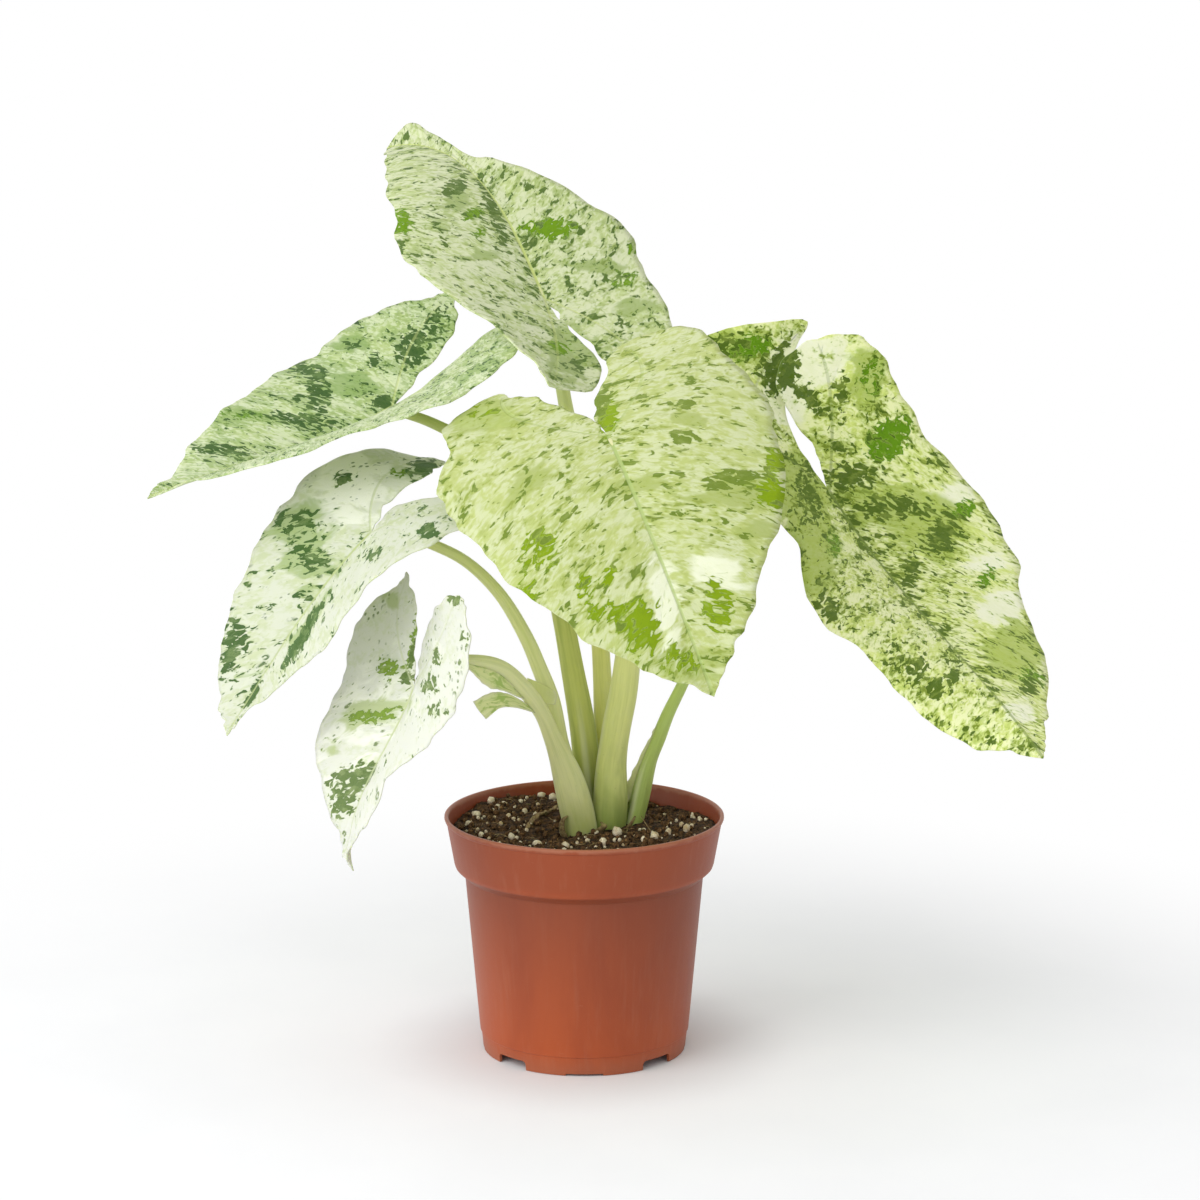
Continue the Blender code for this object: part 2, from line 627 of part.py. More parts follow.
def make_bark(ground):
    """A strip of bark fibre that lies on the soil beside the stem."""
    path = spline(BARK_PATH, 2)
    bm = bmesh.new()
    rings = []
    for i, (x, y) in enumerate(path):
        share = i / (len(path) - 1)
        width = 0.6 + 1.5 * math.sin(math.pi * (0.08 + 0.84 * share))
        base = soil_height(x, y) + 20
        rings.append([
            bm.verts.new((x + dx * width, y, base + dz))
            for dx, dz in ((-1, 0.1), (0, 0), (1, 0.5), (0.2, 1.2))
        ])
    for near, far in zip(rings, rings[1:]):
        for j in range(4):
            k = (j + 1) % 4
            bm.faces.new((near[j], near[k], far[k], far[j]))
    bm.faces.new(rings[0])
    bm.faces.new(rings[-1])
    bmesh.ops.recalc_face_normals(bm, faces=bm.faces)
    seat_on(bm, ground)
    return object_from(bm, "bark_chip", "bark_fibre")


def main():
    """Build the plant from the pot up."""
    remove_default_objects()
    make_pot()
    soil = make_soil()
    make_crown()
    for leaf in LEAVES:
        petiole = make_petiole(leaf)
        if leaf.name == "lower_left":
            for i, rows in enumerate(SHEATH_FLAPS):
                add_boolean(petiole, "UNION", make_flap(f"sheath_flap_{i}", rows))
        make_blade(leaf)
    bpy.context.view_layer.update()
    ground = BVHTree.FromObject(soil, bpy.context.evaluated_depsgraph_get())
    for number, (x, y, radius) in enumerate(GRAINS, start=1):
        make_grain(number, x, y, radius, ground)
    make_bark(ground)


main()
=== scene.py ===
"""Looks of a variegated alocasia in a round terracotta-coloured nursery pot.

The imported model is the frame. Lengths written in millimetres are multiplied by MM; everything
handed to Blender is in metres, with Z up and the front of the plant towards -Y.
"""

import logging
import math
from contextlib import contextmanager
from dataclasses import dataclass, field
from enum import Enum
from typing import Iterable, Iterator, NamedTuple, Sequence

import bmesh
import bpy
import numpy as np
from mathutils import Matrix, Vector, noise
from mathutils.bvhtree import BVHTree


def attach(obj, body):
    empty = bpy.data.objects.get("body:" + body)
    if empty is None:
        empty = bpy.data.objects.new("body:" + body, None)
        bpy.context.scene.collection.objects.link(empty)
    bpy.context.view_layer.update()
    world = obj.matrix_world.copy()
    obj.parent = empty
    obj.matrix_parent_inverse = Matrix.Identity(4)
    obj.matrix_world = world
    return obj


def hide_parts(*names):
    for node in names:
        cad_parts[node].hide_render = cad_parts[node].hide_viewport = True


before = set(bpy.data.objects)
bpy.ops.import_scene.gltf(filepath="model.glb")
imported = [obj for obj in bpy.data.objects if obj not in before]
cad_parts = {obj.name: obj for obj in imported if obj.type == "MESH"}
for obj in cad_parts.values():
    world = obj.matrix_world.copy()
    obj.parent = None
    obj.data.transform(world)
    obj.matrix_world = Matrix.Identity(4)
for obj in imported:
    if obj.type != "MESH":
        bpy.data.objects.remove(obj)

log = logging.getLogger("alocasia")

MM = 0.001
ROOT = "root"
Point = tuple[float, ...]
Colour = tuple[float, float, float, float]
Socket = bpy.types.NodeSocket
Node = bpy.types.Node
BMesh = bmesh.types.BMesh


def shade(red: int, green: int, blue: int) -> Colour:
    """The scene-linear colour of a display colour given from 0 to 255."""
    linear = [
        c / 12.92 if c <= 0.04045 else ((c + 0.055) / 1.055) ** 2.4
        for c in (red / 255, green / 255, blue / 255)
    ]
    return (*linear, 1.0)


def mixed(first: Colour, second: Colour, share: float) -> Colour:
    """The colour between two, at that share of the second."""
    return tuple((1 - share) * a + share * b for a, b in zip(first, second))


# ---------------------------------------------------------------- shader building


@dataclass
class Sketch:
    """Adds nodes to a shader tree in short calls; every call returns an output socket."""

    tree: bpy.types.NodeTree

    def add(self, kind: str, **settings: object) -> Node:
        """A new node with some of its settings changed."""
        node = self.tree.nodes.new(kind)
        for name, value in settings.items():
            setattr(node, name, value)
        return node

    def feed(self, target: Socket, value: object) -> None:
        """Link a socket into target, or set target to a plain value."""
        if isinstance(value, Socket):
            self.tree.links.new(value, target)
        else:
            target.default_value = value

    def maths(self, operation: str, *values: object, clamp: bool = False) -> Socket:
        """The result of a Math node."""
        node = self.add("ShaderNodeMath", operation=operation, use_clamp=clamp)
        for target, value in zip(node.inputs, values):
            self.feed(target, value)
        return node.outputs[0]

    def plus(self, first: object, second: object) -> Socket:
        """The sum of two values."""
        return self.maths("ADD", first, second)

    def minus(self, first: object, second: object) -> Socket:
        """The first value less the second."""
        return self.maths("SUBTRACT", first, second)

    def times(self, first: object, second: object) -> Socket:
        """The product of two values."""
        return self.maths("MULTIPLY", first, second)

    def rest(self, share: object) -> Socket:
        """What a share leaves of 1."""
        return self.maths("SUBTRACT", 1.0, share)

    def swing(self, wave: object, size: object) -> Socket:
        """A noise from 0 to 1 as a swing either way, up to half of size."""
        return self.times(self.minus(wave, 0.5), size)

    def rise(self, value: object, low: object, high: object) -> Socket:
        """A smooth rise from 0 at low to 1 at high."""
        node = self.add("ShaderNodeMapRange", interpolation_type="SMOOTHSTEP")
        for name, item in (("Value", value), ("From Min", low), ("From Max", high)):
            self.feed(node.inputs[name], item)
        return node.outputs["Result"]

    def blend(self, share: object, first: object, second: object) -> Socket:
        """The colour between two colours."""
        node = self.add("ShaderNodeMix", data_type="RGBA")
        for slot, value in ((0, share), (6, first), (7, second)):
            self.feed(node.inputs[slot], value)
        return node.outputs[2]

    def laid(self, mask: object, strength: object, ground: object, colour: object) -> Socket:
        """A ground colour with another laid over it where a mask shows it."""
        return self.blend(self.times(mask, strength), ground, colour)

    def stretched(self, vector: object, scale: Point, shift: Point = (0, 0, 0)) -> Socket:
        """Coordinates scaled along each axis, then moved."""
        node = self.add("ShaderNodeMapping")
        self.feed(node.inputs["Vector"], vector)
        node.inputs["Scale"].default_value = scale
        node.inputs["Location"].default_value = shift
        return node.outputs[0]

    def cloud(
        self, vector: object, scale: float = 1.0, detail: float = 3.0, rough: float = 0.55,
        warp: float = 0.0,
    ) -> Socket:
        """Fractal noise from 0 to 1."""
        node = self.add("ShaderNodeTexNoise")
        self.feed(node.inputs["Vector"], vector)
        settings = (("Scale", scale), ("Detail", detail), ("Roughness", rough), ("Distortion", warp))
        for name, value in settings:
            node.inputs[name].default_value = value
        return node.outputs["Fac"]

    def drift(
        self, vector: object, scale: Point, shift: Point = (0, 0, 0), detail: float = 3.0,
        rough: float = 0.55, warp: float = 0.0,
    ) -> Socket:
        """Fractal noise over coordinates that are stretched and moved first."""
        return self.cloud(self.stretched(vector, scale, shift), 1.0, detail, rough, warp)

    def cells(self, vector: object, scale: float = 1.0) -> Socket:
        """Distance to the nearest of many scattered points."""
        node = self.add("ShaderNodeTexVoronoi")
        self.feed(node.inputs["Vector"], vector)
        node.inputs["Scale"].default_value = scale
        return node.outputs["Distance"]

    def place(self) -> Socket:
        """Object coordinates, in metres."""
        return self.add("ShaderNodeTexCoord").outputs["Object"]

    def height(self) -> Socket:
        """Height above the table, in metres."""
        node = self.add("ShaderNodeSeparateXYZ")
        self.feed(node.inputs[0], self.place())
        return node.outputs["Z"]

    def layout(self, name: str) -> Socket:
        """The piece's own UV map."""
        return self.add("ShaderNodeUVMap", uv_map=name).outputs["UV"]

    def reading(self, name: str) -> Socket:
        """A number that the mesh carries."""
        return self.add("ShaderNodeAttribute", attribute_name=name).outputs["Fac"]

    def group(self, tree: bpy.types.NodeTree, **values: object) -> Node:
        """A node group with its inputs fed; an underscore in a name stands for a space."""
        node = self.add("ShaderNodeGroup", node_tree=tree)
        for name, value in values.items():
            self.feed(node.inputs[name.replace("_", " ")], value)
        return node

    def torn(self, level: object, streaks: object, ragged: float, soft: float) -> "Tear":
        """Marks where a level and its noise bring them up."""
        tree = SharedEffect.TORN_PATCH.tree()
        made = self.group(tree, Field=level, Streaks=streaks, Raggedness=ragged, Softness=soft)
        return Tear(*(made.outputs[name] for name in ("Mask", "Halo", "Core")))

    def marbled(self, vector: object, first: Colour, second: Colour, bias: object = 0.0) -> Socket:
        """Two colours drifting into each other."""
        tree = SharedEffect.MARBLED_TONE.tree()
        made = self.group(tree, Vector=vector, First=first, Second=second, Bias=bias)
        return made.outputs["Colour"]

    def grained(self, shader: Node, vector: object, middle: object, spread: float) -> Socket:
        """Give a shader a mottled roughness and return the height of its grain."""
        tree = SharedEffect.FINE_GRAIN.tree()
        grain = self.group(tree, Vector=vector, Middle=middle, Spread=spread)
        self.feed(shader.inputs["Roughness"], grain.outputs["Roughness"])
        return grain.outputs["Height"]

    def seen(self) -> Socket:
        """1 where the eye looks straight, in a reflection or through something clear, 0 for light."""
        path = self.add("ShaderNodeLightPath")
        direct = self.maths("MAXIMUM", path.outputs["Is Camera Ray"], path.outputs["Is Glossy Ray"])
        return self.maths("MAXIMUM", direct, path.outputs["Is Transmission Ray"])


class Tear(NamedTuple):
    """Torn marks: where they are, the halo round them and the core inside their rims."""

    mask: Socket
    halo: Socket
    core: Socket


class SharedEffect(Enum):
    """Node groups that several materials use."""

    TORN_PATCH = "torn patch"
    MARBLED_TONE = "marbled tone"
    FINE_GRAIN = "fine grain"

    def tree(self) -> bpy.types.NodeTree:
        """The group's tree, built on first use."""
        if self.value not in bpy.data.node_groups:
            {
                SharedEffect.TORN_PATCH: _torn_patch,
                SharedEffect.MARBLED_TONE: _marbled_tone,
                SharedEffect.FINE_GRAIN: _fine_grain,
            }[self](self.value)
        return bpy.data.node_groups[self.value]


def _new_group(
    name: str, inputs: Iterable[tuple[str, str]], outputs: Iterable[tuple[str, str]]
) -> tuple[Sketch, Node, Node]:
    """An empty node group.

    Args:
        name: the group's name.
        inputs: names and kinds of its input sockets.
        outputs: names and kinds of its output sockets.

    Returns:
        The sketch to add nodes with, and the group's input and output nodes.
    """
    tree = bpy.data.node_groups.new(name, "ShaderNodeTree")
    for direction, sockets in (("INPUT", inputs), ("OUTPUT", outputs)):
        for label, kind in sockets:
            tree.interface.new_socket(name=label, in_out=direction, socket_type=f"NodeSocket{kind}")
    sketch = Sketch(tree)
    return sketch, sketch.add("NodeGroupInput"), sketch.add("NodeGroupOutput")


def _torn_patch(name: str) -> None:
    """Marks broken up by a noise pattern, each with a rim round its core and a paler halo."""
    s, given, result = _new_group(
        name,
        (("Field", "Float"), ("Streaks", "Float"), ("Raggedness", "Float"), ("Softness", "Float")),
        (("Mask", "Float"), ("Halo", "Float"), ("Core", "Float")),
    )
    swing = s.swing(given.outputs["Streaks"], given.outputs["Raggedness"])
    level = s.plus(given.outputs["Field"], swing)
    low = s.times(given.outputs["Softness"], -1.0)
    s.feed(result.inputs["Mask"], s.rise(level, low, given.outputs["Softness"]))
    s.feed(result.inputs["Halo"], s.rise(level, -0.75, 0.05))
    s.feed(result.inputs["Core"], s.rise(level, 0.05, 0.6))


def _marbled_tone(name: str) -> None:
    """Two colours drifting into each other."""
    s, given, result = _new_group(
        name,
        (("Vector", "Vector"), ("First", "Color"), ("Second", "Color"), ("Bias", "Float")),
        (("Colour", "Color"),),
    )
    broad = s.cloud(given.outputs["Vector"], 1.0, 4.0, 0.6, 0.4)
    level = s.plus(broad, given.outputs["Bias"])
    share = s.rise(level, 0.36, 0.66)
    s.feed(result.inputs["Colour"], s.blend(share, given.outputs["First"], given.outputs["Second"]))


def _fine_grain(name: str) -> None:
    """A grain height and a mottled roughness around a middle value."""
    s, given, result = _new_group(
        name,
        (("Vector", "Vector"), ("Middle", "Float"), ("Spread", "Float")),
        (("Height", "Float"), ("Roughness", "Float")),
    )
    grain = s.cloud(given.outputs["Vector"], 1.0, 5.0, 0.65)
    swing = s.swing(grain, given.outputs["Spread"])
    s.feed(result.inputs["Height"], grain)
    s.feed(result.inputs["Roughness"], s.maths("ADD", given.outputs["Middle"], swing, clamp=True))


def new_material(name: str) -> tuple[bpy.types.Material, Sketch, Node]:
    """An empty material.

    Args:
        name: the material's name.

    Returns:
        The material, a sketch on its tree and its Principled node.
    """
    material = bpy.data.materials.new(name)
    material.use_nodes = True
    tree = material.node_tree
    return material, Sketch(tree), tree.nodes["Principled BSDF"]


def bumped(
    sketch: Sketch, shader: Node, height: object, distance: float, strength: float = 1.0
) -> None:
    """Give a shader a relief of that depth in metres."""
    bump = sketch.add("ShaderNodeBump")
    bump.inputs["Distance"].default_value = distance
    bump.inputs["Strength"].default_value = strength
    sketch.feed(bump.inputs["Height"], height)
    sketch.feed(shader.inputs["Normal"], bump.outputs["Normal"])


def preset(shader: Node, **values: object) -> None:
    """Set constants of a shader; an underscore in a name stands for a space."""
    for name, value in values.items():
        shader.inputs[name.replace("_", " ")].default_value = value


# ---------------------------------------------------------------- modelling helpers


def polar(radius: float, turn: float) -> Point:
    """The (x, y) place at a radius and an angle."""
    return radius * math.cos(turn), radius * math.sin(turn)


def deselect() -> None:
    """Leave object mode with nothing selected."""
    if bpy.context.object and bpy.context.object.mode != "OBJECT":
        bpy.ops.object.mode_set(mode="OBJECT")
    bpy.ops.object.select_all(action="DESELECT")


def take(*objects: bpy.types.Object) -> None:
    """Select these objects and make the first one active."""
    deselect()
    for obj in objects:
        obj.select_set(True)
    bpy.context.view_layer.objects.active = objects[0]


def apply_all(obj: bpy.types.Object) -> None:
    """Apply every modifier of an object, from the top."""
    take(obj)
    for modifier in list(obj.modifiers):
        bpy.ops.object.modifier_apply(modifier=modifier.name)


@contextmanager
def editing() -> Iterator[None]:
    """Edit mode with the whole mesh selected, then object mode again."""
    bpy.ops.object.mode_set(mode="EDIT")
    bpy.ops.mesh.select_all(action="SELECT")
    yield
    bpy.ops.object.mode_set(mode="OBJECT")


def settle(obj: bpy.types.Object) -> None:
    """Move an object's place, turn and size into its mesh."""
    take(obj)
    bpy.ops.object.transform_apply(location=True, rotation=True, scale=True)


def placed(name: str, data: bpy.types.ID) -> bpy.types.Object:
    """A new object in the scene."""
    obj = bpy.data.objects.new(name, data)
    bpy.context.scene.collection.objects.link(obj)
    return obj


def carry(obj: bpy.types.Object, name: str, values: np.ndarray) -> None:
    """Give every vertex of an object's mesh a number."""
    obj.data.attributes.new(name, "FLOAT", "POINT").data.foreach_set("value", values)


def mesh_object(name: str, bm: BMesh) -> bpy.types.Object:
    """A smooth-shaded object from a bmesh in millimetres."""
    bmesh.ops.scale(bm, vec=(MM, MM, MM), verts=bm.verts)
    mesh = bpy.data.meshes.new(name)
    bm.to_mesh(mesh)
    bm.free()
    mesh.shade_smooth()
    return placed(name, mesh)


def thickened(obj: bpy.types.Object, thickness: float, **settings: object) -> None:
    """Give a sheet its thickness in millimetres, half of it on either side."""
    sheet = obj.modifiers.new("thickness", "SOLIDIFY")
    sheet.thickness = thickness * MM
    sheet.offset = 0
    for name, value in settings.items():
        setattr(sheet, name, value)
    apply_all(obj)


def quads(grid: Sequence[Sequence]) -> Iterator[tuple]:
    """The four corners of each cell of a grid, row by row."""
    for near, far in zip(grid, grid[1:]):
        yield from zip(near, near[1:], far[1:], far)


def hoop(near: Sequence, far: Sequence) -> Iterator[tuple]:
    """The four corners of each cell between two closed rings."""
    return zip(near, [*near[1:], near[0]], [*far[1:], far[0]], far)


def walled(bm: BMesh, rings: Sequence[Sequence[bmesh.types.BMVert]]) -> None:
    """Join rings of vertices into a closed strand with flat ends."""
    for near, far in zip(rings, rings[1:]):
        for corners in hoop(near, far):
            bm.faces.new(corners)
    bm.faces.new(rings[0][::-1])
    bm.faces.new(rings[-1])


def dressed(
    obj: bpy.types.Object, material: bpy.types.Material, slot: str, *nodes: str
) -> bpy.types.Object:
    """Finish a piece: its material, its body and the CAD nodes that it stands for.

    Args:
        obj: the piece, in place.
        material: its only material.
        slot: not used.
        nodes: names of the CAD nodes that it replaces.

    Returns:
        The piece.
    """
    obj.data.materials.clear()
    obj.data.materials.append(material)
    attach(obj, ROOT)
    if nodes:
        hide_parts(*nodes)
    log.info("%s: %d faces", obj.name, len(obj.data.polygons))
    return obj


def spline(points: Sequence[Point], steps: int) -> np.ndarray:
    """Points of a centripetal Catmull-Rom curve.

    Args:
        points: the points that it runs through.
        steps: how many steps it takes between each two.

    Returns:
        The curve's points, one a row.
    """
    points = np.asarray(points, float)
    ends = np.vstack([2 * points[0] - points[1], points, 2 * points[-1] - points[-2]])
    t = np.linspace(0, 1, steps, endpoint=False)[:, None]
    curve = []
    for before, start, end, after in zip(ends, ends[1:], ends[2:], ends[3:]):
        first, middle, last = (
            math.sqrt(np.linalg.norm(b - a))
            for a, b in ((before, start), (start, end), (end, after))
        )
        chord = end - start
        leave = chord + middle * ((start - before) / first - (end - before) / (first + middle))
        arrive = chord + middle * ((after - end) / last - (after - start) / (middle + last))
        curve.append(
            (2 * t**3 - 3 * t**2 + 1) * start
            + (t**3 - 2 * t**2 + t) * leave
            + (3 * t**2 - 2 * t**3) * end
            + (t**3 - t**2) * arrive
        )
    return np.vstack([*curve, points[-1:]])


def smoothstep(x: np.ndarray | float) -> np.ndarray:
    """0 below 0, 1 above 1, with a smooth rise between."""
    x = np.clip(x, 0, 1)
    return x * x * (3 - 2 * x)


def between(s: np.ndarray, lobe: float, middle: float, tip: float) -> np.ndarray:
    """The parabola through lobe at s = -0.4, middle at 0.2 and tip at 1."""
    s = np.clip(s, -0.5, 1)
    return (
        lobe * (s - 0.2) * (s - 1) / 0.84
        + middle * (s + 0.4) * (s - 1) / -0.48
        + tip * (s + 0.4) * (s - 0.2) / 1.12
    )


# ---------------------------------------------------------------- leaves

STATIONS = (0.0, 0.22, 0.45, 0.66, 0.84, 0.94)  # where half-widths are given, as shares of length


@dataclass(frozen=True)
class Half:
    """One half of a blade, in millimetres out from the midrib.

    Attributes:
        sinus: how far the lobe's inner edge stands off the midline at 30 and 75 % of the lobe.
        lobe: the lobe's tip as (along the midline, out).
        shoulder: half-widths at 88 and 50 % of the lobe's length.
        widths: half-widths at STATIONS.
        fold: how steeply the half rises from the midrib at lobe, middle and tip, in degrees.
        arch: how far it then curls down at lobe and middle, in degrees.
        lift: height by which the lobe's tip is raised.
    """

    sinus: Point
    lobe: Point
    shoulder: Point
    widths: Point
    fold: Point
    arch: Point
    lift: float = 0.0


@dataclass(frozen=True)
class LeafShape:
    """One leaf: its blade, and the petiole that carries it, in millimetres and degrees.

    Attributes:
        name: the leaf's place on the plant.
        junction: where the petiole meets the blade.
        azimuth: direction of the midrib there.
        pitch: how far it points down there.
        roll: how far the blade leans over there.
        length: from the junction to the tip.
        droop: how the midrib turns down behind and ahead of the junction.
        sway: how far it turns sideways.
        left: the half on the left of the midrib.
        right: the half on the right.
        stations: the petiole's centre line as (x, y, z, radius), from the crown up.
        ripple: height of the waves along the margin.
        waves: how many waves there are.
    """

    name: str
    junction: Point
    azimuth: float
    pitch: float
    roll: float
    length: float
    droop: Point
    sway: float
    left: Half
    right: Half
    stations: tuple
    ripple: float = 1.2
    waves: float = 3.5

    def half(self, side: int) -> Half:
        """The left half for side +1 and the right half for side -1."""
        return self.left if side > 0 else self.right

    def midrib(self, u: np.ndarray) -> tuple[np.ndarray, np.ndarray, np.ndarray, np.ndarray]:
        """Centre, forward, left and upward directions at distances u along the midline."""

        def directions(along: np.ndarray) -> tuple[np.ndarray, np.ndarray]:
            share = along / self.length
            behind, linear, square = self.droop
            down = np.radians(np.where(share < 0, behind * share, (linear + square * share) * share))
            turn = np.radians(np.where(share > 0, self.sway * share**2, 0))
            azimuth, pitch, roll = (math.radians(a) for a in (self.azimuth, self.pitch, self.roll))
            ahead = np.array([
                math.cos(azimuth) * math.cos(pitch), math.sin(azimuth) * math.cos(pitch),
                -math.sin(pitch),
            ])
            level = np.array([-math.sin(azimuth), math.cos(azimuth), 0])
            side = level * math.cos(roll) + np.cross(ahead, level) * math.sin(roll)
            above = np.cross(ahead, side)
            forward = (
                np.outer(np.cos(down) * np.cos(turn), ahead)
                + np.outer(np.cos(down) * np.sin(turn), side)
                - np.outer(np.sin(down), above)
            )
            left = np.outer(-np.sin(turn), ahead) + np.outer(np.cos(turn), side)
            return forward, left

        grid = np.linspace(-0.75, 1.05, 361) * self.length
        steps = directions(grid)[0]
        walked = np.zeros_like(steps)
        walked[1:] = np.cumsum((steps[1:] + steps[:-1]) / 2 * np.diff(grid)[:, None], axis=0)
        walked -= [np.interp(0, grid, column) for column in walked.T]
        centre = np.stack([np.interp(u, grid, column) for column in walked.T], axis=1)
        forward, left = directions(u)
        return centre + self.junction, forward, left, np.cross(forward, left)

    def bent(self, flat: np.ndarray, side: int, ripple: np.ndarray) -> np.ndarray:
        """Places in space of flat (along, out) points of one half."""
        half = self.half(side)
        along, out = flat[:, 0], flat[:, 1]
        share = along / self.length
        centre, _, left, up = self.midrib(along)
        fold = np.radians(between(share, *half.fold))
        arch = half.arch[0] + (half.arch[1] - half.arch[0]) * np.clip((share + 0.4) / 0.6, 0, 1)
        curl = np.radians(arch) / (0.45 * self.length)
        curl = np.where(np.abs(curl) < 1e-6, 1e-6, curl)
        reach = (np.sin(fold) - np.sin(fold - curl * np.abs(out))) / curl
        rise = (np.cos(fold - curl * np.abs(out)) - np.cos(fold)) / curl
        across = out < 0
        reach = np.where(across, out, reach)
        rise = np.where(across, 0, rise)
        rise = rise + half.lift * smoothstep(-share / 0.42) + ripple
        return centre + left * (side * reach)[:, None] + up * rise[:, None]

    def outline(self, side: int, steps: int) -> np.ndarray:
        """Flat points of a half's edge, from the petiole round the lobe to the tip."""
        half = self.half(side)
        back, out = half.lobe
        points = [(0, 0), (0.3 * back, half.sinus[0]), (0.75 * back, half.sinus[1]), (back, out)]
        points += [(0.88 * back, half.shoulder[0]), (0.5 * back, half.shoulder[1])]
        points += [(at * self.length, width) for at, width in zip(STATIONS, half.widths)]
        points += [(self.length, 0)]
        return spline(points, steps)

    def lobe_vein(self, side: int, steps: int) -> np.ndarray:
        """Flat points along a lobe's main vein, to just short of the lobe's tip."""
        half = self.half(side)
        tip = np.array(half.lobe)
        inner = np.interp(0.55, (0.3, 0.75), half.sinus)
        heart = np.array([0.55 * tip[0], 0.65 * inner + 0.35 * half.shoulder[1]])
        end = tip + 0.12 * (heart - tip)
        t = np.linspace(0, 1, steps + 1)[:, None]
        return heart * t * (1 - t) / 0.2475 + end * t * (t - 0.55) / 0.45


class Mark(Enum):
    """Kinds of coloured marks on a blade; each is a number that the mesh carries."""

    DARK = "dark_marks"
    VIVID = "vivid_marks"
    WASH = "green_wash"
    WHITE = "white_areas"
    LIME = "lime_areas"


@dataclass(frozen=True)
class Patch:
    """An area of one kind of mark on a blade.

    Attributes:
        mark: its kind.
        along: its centre along the midline from the junction, in millimetres.
        out: its centre out from the midline, positive on the left half.
        long: its longer half-size.
        wide: its shorter half-size.
        turn: direction of the longer one from the midline towards the left, in degrees.
        level: how solid it is in its middle.
    """

    mark: Mark
    along: float
    out: float
    long: float
    wide: float
    turn: float = 0.0
    level: float = 1.0

    def strength(self, flat: np.ndarray) -> np.ndarray:
        """The patch's share at flat points with signed distances out, soft towards its edge."""
        along, out = flat[:, 0] - self.along, flat[:, 1] - self.out
        turn = math.radians(self.turn)
        near = (along * math.cos(turn) + out * math.sin(turn)) / self.long
        off = (out * math.cos(turn) - along * math.sin(turn)) / self.wide
        return 2 * self.level * np.exp(-0.9 * (near**2 + off**2))


